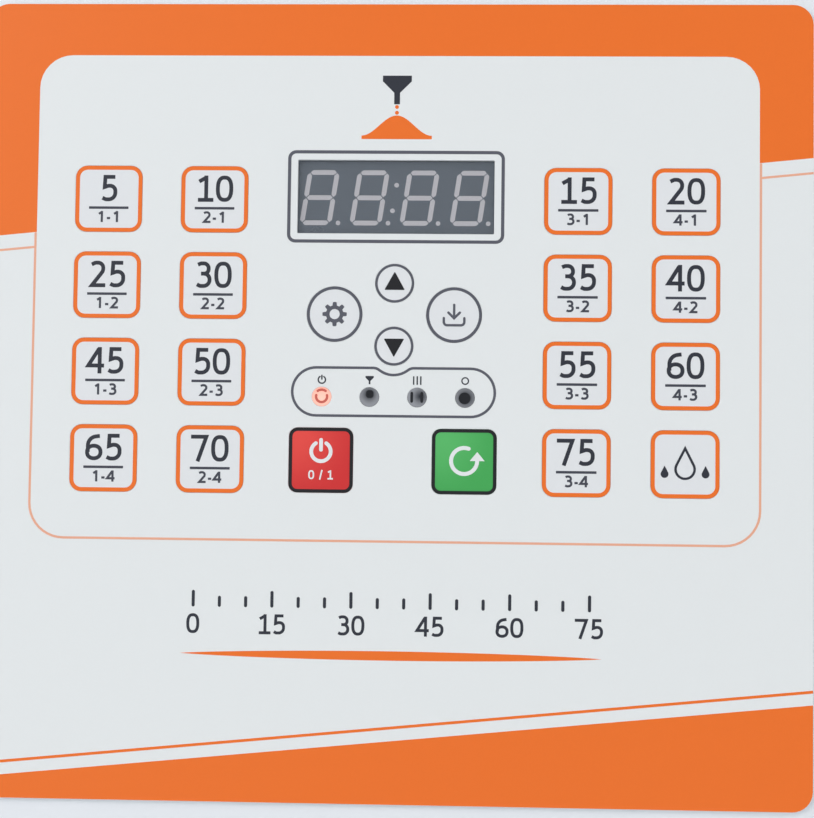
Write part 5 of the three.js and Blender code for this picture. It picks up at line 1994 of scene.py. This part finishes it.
@dataclass
class MainsInlet:
    """Appliance inlet with its pins, the fuse drawer and the rocker switch, behind a flange on the back."""

    body: Pair = (27, 47)
    bottom: float = 10
    overlap: float = 0.1
    flange: float = 2.5
    flange_corner: float = 3
    flange_rim: float = 0.5
    screw: Screw = Screw(radius=2.6, deep=0.8)
    screw_inset: float = 5.5
    socket: Pair = (24, 16.5)
    socket_cut: float = 5
    socket_corner: float = 1
    socket_down: float = 13
    socket_deep: float = 17
    pin: Triple = (4, 2, 14)
    pin_across: float = 7
    pin_sunk: float = 1
    pin_edges: Pair = (0.7, 0.5)
    live_pins_up: float = -1
    earth_pin_up: float = 2.5
    pocket: Pair = (20.6, 13.6)
    pocket_up: float = 14
    pocket_deep: float = 12
    drawer: Pair = (20, 7.6)
    drawer_up: float = 1.4
    drawer_slit: float = 0.35
    drawer_step: float = 1.2
    drawer_sunk: float = 0.15
    pull: Pair = (7, 1.6)
    pull_up: float = 1.6
    rocker: Triple = (20, 13, 7)
    rocker_edge: float = 0.8
    rocker_valley: float = 4
    tilt: float = 9.0
    proud: float = 2.1
    mark_bar: Pair = (3.4, 0.8)
    mark_ring: Pair = (1.9, 0.7)
    mark_place: float = 0.52
    mark_levels: Pair = (-0.05, 0.04)

    def __post_init__(self) -> None:
        """Read where the inlet is."""
        self.box = Box.of("power_inlet")
        self.up = self.box.middle.z
        self.back = self.box.high.y
        self.socket_middle = self.up - self.socket_down
        reach = self.box.size.x / 2 - self.screw_inset
        self.screw_places = [(-reach, self.up), (reach, self.up)]

    def build(self) -> None:
        """Build the inlet's case, its fuse drawer, screws and pins, and the rocker with its marks."""
        self.add_case()
        self.add_drawer()
        heads = united(self.screw.head(place, self.back) for place in self.screw_places)
        add_piece("inlet_screws", heads.facing(Facing.BACK), ZINC)
        self.add_pins()
        self.add_rocker()

    def socket_outline(self) -> Outline:
        """Return the outline of the socket: a rectangle with its two upper corners cut off.

        Returns:
            The outline on the back's drawing.
        """
        half, rise, middle = self.socket[0] / 2, self.socket[1] / 2, self.socket_middle
        shoulder, top = middle + rise - self.socket_cut, middle + rise
        corners = [(half, middle - rise), (half, shoulder), (half - self.socket_cut, top)]
        corners += [(-across, up) for across, up in corners[::-1]]
        return rounded([(*corner, self.socket_corner) for corner in corners], 3)

    def add_case(self) -> None:
        """Build the flange and the box behind it, open at the socket and at the rocker's pocket."""
        up, back, box = self.up, self.back, self.box
        socket = self.socket_outline()
        pocket = oblong(*self.pocket, 0.5, (0.0, up + self.pocket_up), 2)
        drawer_gap = oblong(*self.drawer, 0.8, (0.0, up + self.drawer_up), 3)
        flange_outline = oblong(box.size.x, box.size.z, self.flange_corner, (0.0, up), 6)
        holes = [self.screw.hole(place) for place in self.screw_places]
        case_outline = oblong(*self.body, 1, (0.0, up), 3)
        floor = box.low.y + self.bottom
        behind = back - self.flange
        parts = [
            sheet([flange_outline, socket, pocket, drawer_gap, *holes], behind, back, self.flange_rim),
            sheet([case_outline, socket, pocket], floor, behind + self.overlap),
            sheet([case_outline], box.low.y, floor + self.overlap),
            sheet([socket], floor, back - self.socket_deep),
            sheet([pocket], floor, back - self.pocket_deep)]
        add_piece("inlet_case", united(parts).facing(Facing.BACK), BLACK_NYLON, node="power_inlet")

    def add_drawer(self) -> None:
        """Build the fuse drawer, with the hollow of its pull in the front."""
        back, up, slit = self.back, self.up + self.drawer_up, 2 * self.drawer_slit
        width, height = self.drawer
        front = oblong(width - slit, height - slit, 0.5, (0.0, up), 3)
        pull = oblong(*self.pull, 0.7, (0.0, up + self.pull_up), 4)
        step = back - self.drawer_step
        drawer = (sheet([front, pull], step, back - self.drawer_sunk, 0.3)
                  + sheet([front], back - self.flange, step))
        add_piece("inlet_fuse_drawer", drawer.facing(Facing.BACK), BLACK_NYLON_POLISHED)

    def add_pins(self) -> None:
        """Stand the three flat pins on the floor of the socket, the earth pin above the other two."""
        width, thick, length = self.pin
        low, middle = self.back - self.socket_deep, self.socket_middle
        spots = [(-self.pin_across, middle + self.live_pins_up), (0.0, middle + self.earth_pin_up),
                 (self.pin_across, middle + self.live_pins_up)]
        side, tip = self.pin_edges
        outlines = [oblong(thick, width, side, spot, 4) for spot in spots]
        pins = united(sheet([outline], low - self.pin_sunk, low + length, tip) for outline in outlines)
        add_piece("inlet_pins", pins.facing(Facing.BACK), NICKEL)

    def add_rocker(self) -> None:
        """Build the rocker: two faces that meet in a shallow V, tilted at rest, with its two marks."""
        width, height, depth = self.rocker
        reach, edge = height / 2, self.rocker_edge
        rise, tip, half = reach * math.tan(math.radians(self.tilt)), reach - CLEARANCE, reach / 2
        profile = rounded([(rise, -tip, edge), (0.0, 0.0, self.rocker_valley), (rise, tip, edge),
                           (-depth, half, edge), (-depth, -half, edge)], 5)
        pivot = (0.0, self.back - self.proud, self.up + self.pocket_up)
        skin = sheet([profile], -width / 2, width / 2, 0.5, 0.5, 4).facing(Facing.RIGHT)
        placed = skin.turned("X", self.tilt).moved(*pivot)
        add_piece("rocker_body", placed, BLACK_NYLON_POLISHED, "rocker", "switch_rocker")
        length, thick = self.mark_bar
        radius, line = self.mark_ring
        marks = []
        on, off = upright(0.0, -length / 2, length / 2, thick), ring(circle(radius), line)
        for shape, side in ((on, 1), (off, -1)):
            middle = (0.0, self.mark_place * rise, side * self.mark_place * reach)
            flat = sheet(shape, *self.mark_levels).facing(Facing.BACK).moved(*middle)
            marks.append(flat.turned("X", -side * self.tilt, middle).turned("X", self.tilt).moved(*pivot))
        add_piece("rocker_marks", united(marks), FILM_WHITE, "rocker")


# Studio, in metres

@dataclass(frozen=True)
class SoftBox:
    """Square lamp: where it hangs, its side in metres and its power in watts."""

    name: str
    place: Triple
    side: float
    power: float

    def hang(self) -> None:
        """Hang the lamp so that it looks at the middle of the machine."""
        data = bpy.data.lights.new(self.name, "AREA")
        data.size, data.energy = self.side, self.power
        lamp = bpy.data.objects.new(self.name, data)
        aim = (CAD_BOX[0] + CAD_BOX[1]) / 2 - Vector(self.place)
        lamp.matrix_world = Matrix.Translation(self.place) @ aim.to_track_quat("-Z", "Y").to_matrix().to_4x4()
        bpy.context.scene.collection.objects.link(lamp)


@dataclass
class Studio:
    """Pale floor, soft light and the camera in front of the keypad."""

    camera_at: Triple = (0.02530, -0.68244, 0.38379)
    camera_right: Triple = (0.9989951, 0.0429642, 0.0127541)
    camera_up: Triple = (-0.0102911, -0.0570701, 0.9983175)
    camera_back: Triple = (0.0436199, -0.997446, -0.0565706)
    lens: float = 86.65
    sensor: float = 36.0
    clip: Pair = (0.05, 50.0)
    floor_half: float = 6.0
    floor_roughness: float = 0.7
    floor_fade: Pair = (0.7, 2.6)
    backdrop: str = "#e4e6e9"
    room: str = "#ffffff"
    sky: float = 0.62
    mirrored: Pair = (0.14, 1.0)
    ceiling_height: float = 0.8
    lamps: tuple[SoftBox, ...] = (
        SoftBox("key_light", (-2.0, -2.3, 1.35), 2.0, 35.0),
        SoftBox("fill_light", (1.7, -1.1, 1.2), 1.8, 9.0),
        SoftBox("back_light", (0.6, 1.9, 1.7), 1.6, 16.0))

    def build(self) -> None:
        """Set the camera, the floor, the world and three soft lamps."""
        self.add_camera()
        self.add_floor()
        self.add_world()
        for lamp in self.lamps:
            lamp.hang()

    def add_camera(self) -> None:
        """Place the camera at the photograph's viewpoint, its field set on the height of the frame."""
        data = bpy.data.cameras.new("camera")
        data.sensor_fit, data.sensor_height, data.lens = "VERTICAL", self.sensor, self.lens
        data.clip_start, data.clip_end = self.clip
        camera = bpy.data.objects.new("camera", data)
        rows = zip(self.camera_right, self.camera_up, self.camera_back, self.camera_at)
        camera.matrix_world = Matrix([*rows, (0.0, 0.0, 0.0, 1.0)])
        bpy.context.scene.collection.objects.link(camera)
        bpy.context.scene.camera = camera

    def add_floor(self) -> None:
        """Lay a wide floor, level with the machine's feet."""
        half = self.floor_half
        grid = np.array([[(x, y, 0.0) for x in (-half, half)] for y in (-half, half)])
        skin = woven(grid, close_columns=False)
        mesh = bpy.data.meshes.new("floor")
        mesh.from_pydata(skin.points, [], skin.triangles)
        mesh.materials.append(self.floor_paint())
        floor = bpy.data.objects.new("floor", mesh)
        bpy.context.scene.collection.objects.link(floor)

    def floor_paint(self) -> Material:
        """Return pale matt paint, which a camera sees fade into the backdrop away from the machine.

        Returns:
            The floor's material.
        """
        made = bpy.data.materials.new("floor_paint")
        made.use_nodes = True
        tree = made.node_tree
        paint = tree.nodes["Principled BSDF"]
        paint.inputs["Base Color"].default_value = linear(self.backdrop)
        paint.inputs["Roughness"].default_value = self.floor_roughness
        place = add_node(tree, "TexCoord")
        away = add_node(tree, "VectorMath", {"operation": "LENGTH"}, {0: place.outputs["Object"]})
        near, far = self.floor_fade
        share = add_node(tree, "MapRange",
                         {"From Min": near, "From Max": far, "interpolation_type": "SMOOTHSTEP"},
                         {"Value": away.outputs["Value"]})
        path = add_node(tree, "LightPath")
        seen = add_node(tree, "Math", {"operation": "MULTIPLY"},
                        {0: share.outputs["Result"], 1: path.outputs["Is Camera Ray"]})
        backdrop = add_node(tree, "Emission", {"Color": linear(self.backdrop), "Strength": 1.0})
        mix = add_node(tree, "MixShader", {},
                       {0: seen.outputs[0], 1: paint.outputs[0], 2: backdrop.outputs[0]})
        tree.links.new(mix.outputs[0], tree.nodes["Material Output"].inputs["Surface"])
        return made

    def add_world(self) -> None:
        """Light the room evenly, but show a camera the backdrop, and gloss a room darker at the horizon."""
        world = bpy.data.worlds.new("studio")
        world.use_nodes = True
        bpy.context.scene.world = world
        tree = world.node_tree
        tree.nodes.clear()
        path = add_node(tree, "LightPath")
        seen = add_node(tree, "Math", {"operation": "MAXIMUM"},
                        {0: path.outputs["Is Camera Ray"], 1: path.outputs["Is Transmission Ray"]})
        place = add_node(tree, "TexCoord")
        parts = add_node(tree, "SeparateXYZ", {}, {0: place.outputs["Generated"]})
        horizon, ceiling = self.mirrored
        height = add_node(tree, "MapRange",
                          {"From Max": self.ceiling_height, "To Min": horizon, "To Max": ceiling},
                          {"Value": parts.outputs["Z"]})
        white = linear(self.room)
        even = add_node(tree, "Background", {"Color": white, "Strength": self.sky})
        gloss = add_node(tree, "Background", {"Color": white},
                         {"Strength": height.outputs["Result"]})
        backdrop = add_node(tree, "Background", {"Color": linear(self.backdrop), "Strength": 1.0})
        lit = add_node(tree, "MixShader", {},
                       {0: path.outputs["Is Glossy Ray"], 1: even.outputs[0], 2: gloss.outputs[0]})
        mix = add_node(tree, "MixShader", {},
                       {0: seen.outputs[0], 1: lit.outputs[0], 2: backdrop.outputs[0]})
        add_node(tree, "OutputWorld", {}, {"Surface": mix.outputs[0]})


def main() -> None:
    """Set up the studio, then build the machine, one assembly after another."""
    logging.basicConfig(level=logging.INFO, format="%(message)s")
    scene = bpy.context.scene
    scene.view_settings.view_transform = "Standard"
    for assembly in (Studio, ControlPanel, Display, Cabinet, Feed, HopperLid, DripTray, MainsInlet):
        log.info("building %s", assembly.__name__)
        assembly().build()


if __name__ == "__main__":
    main()
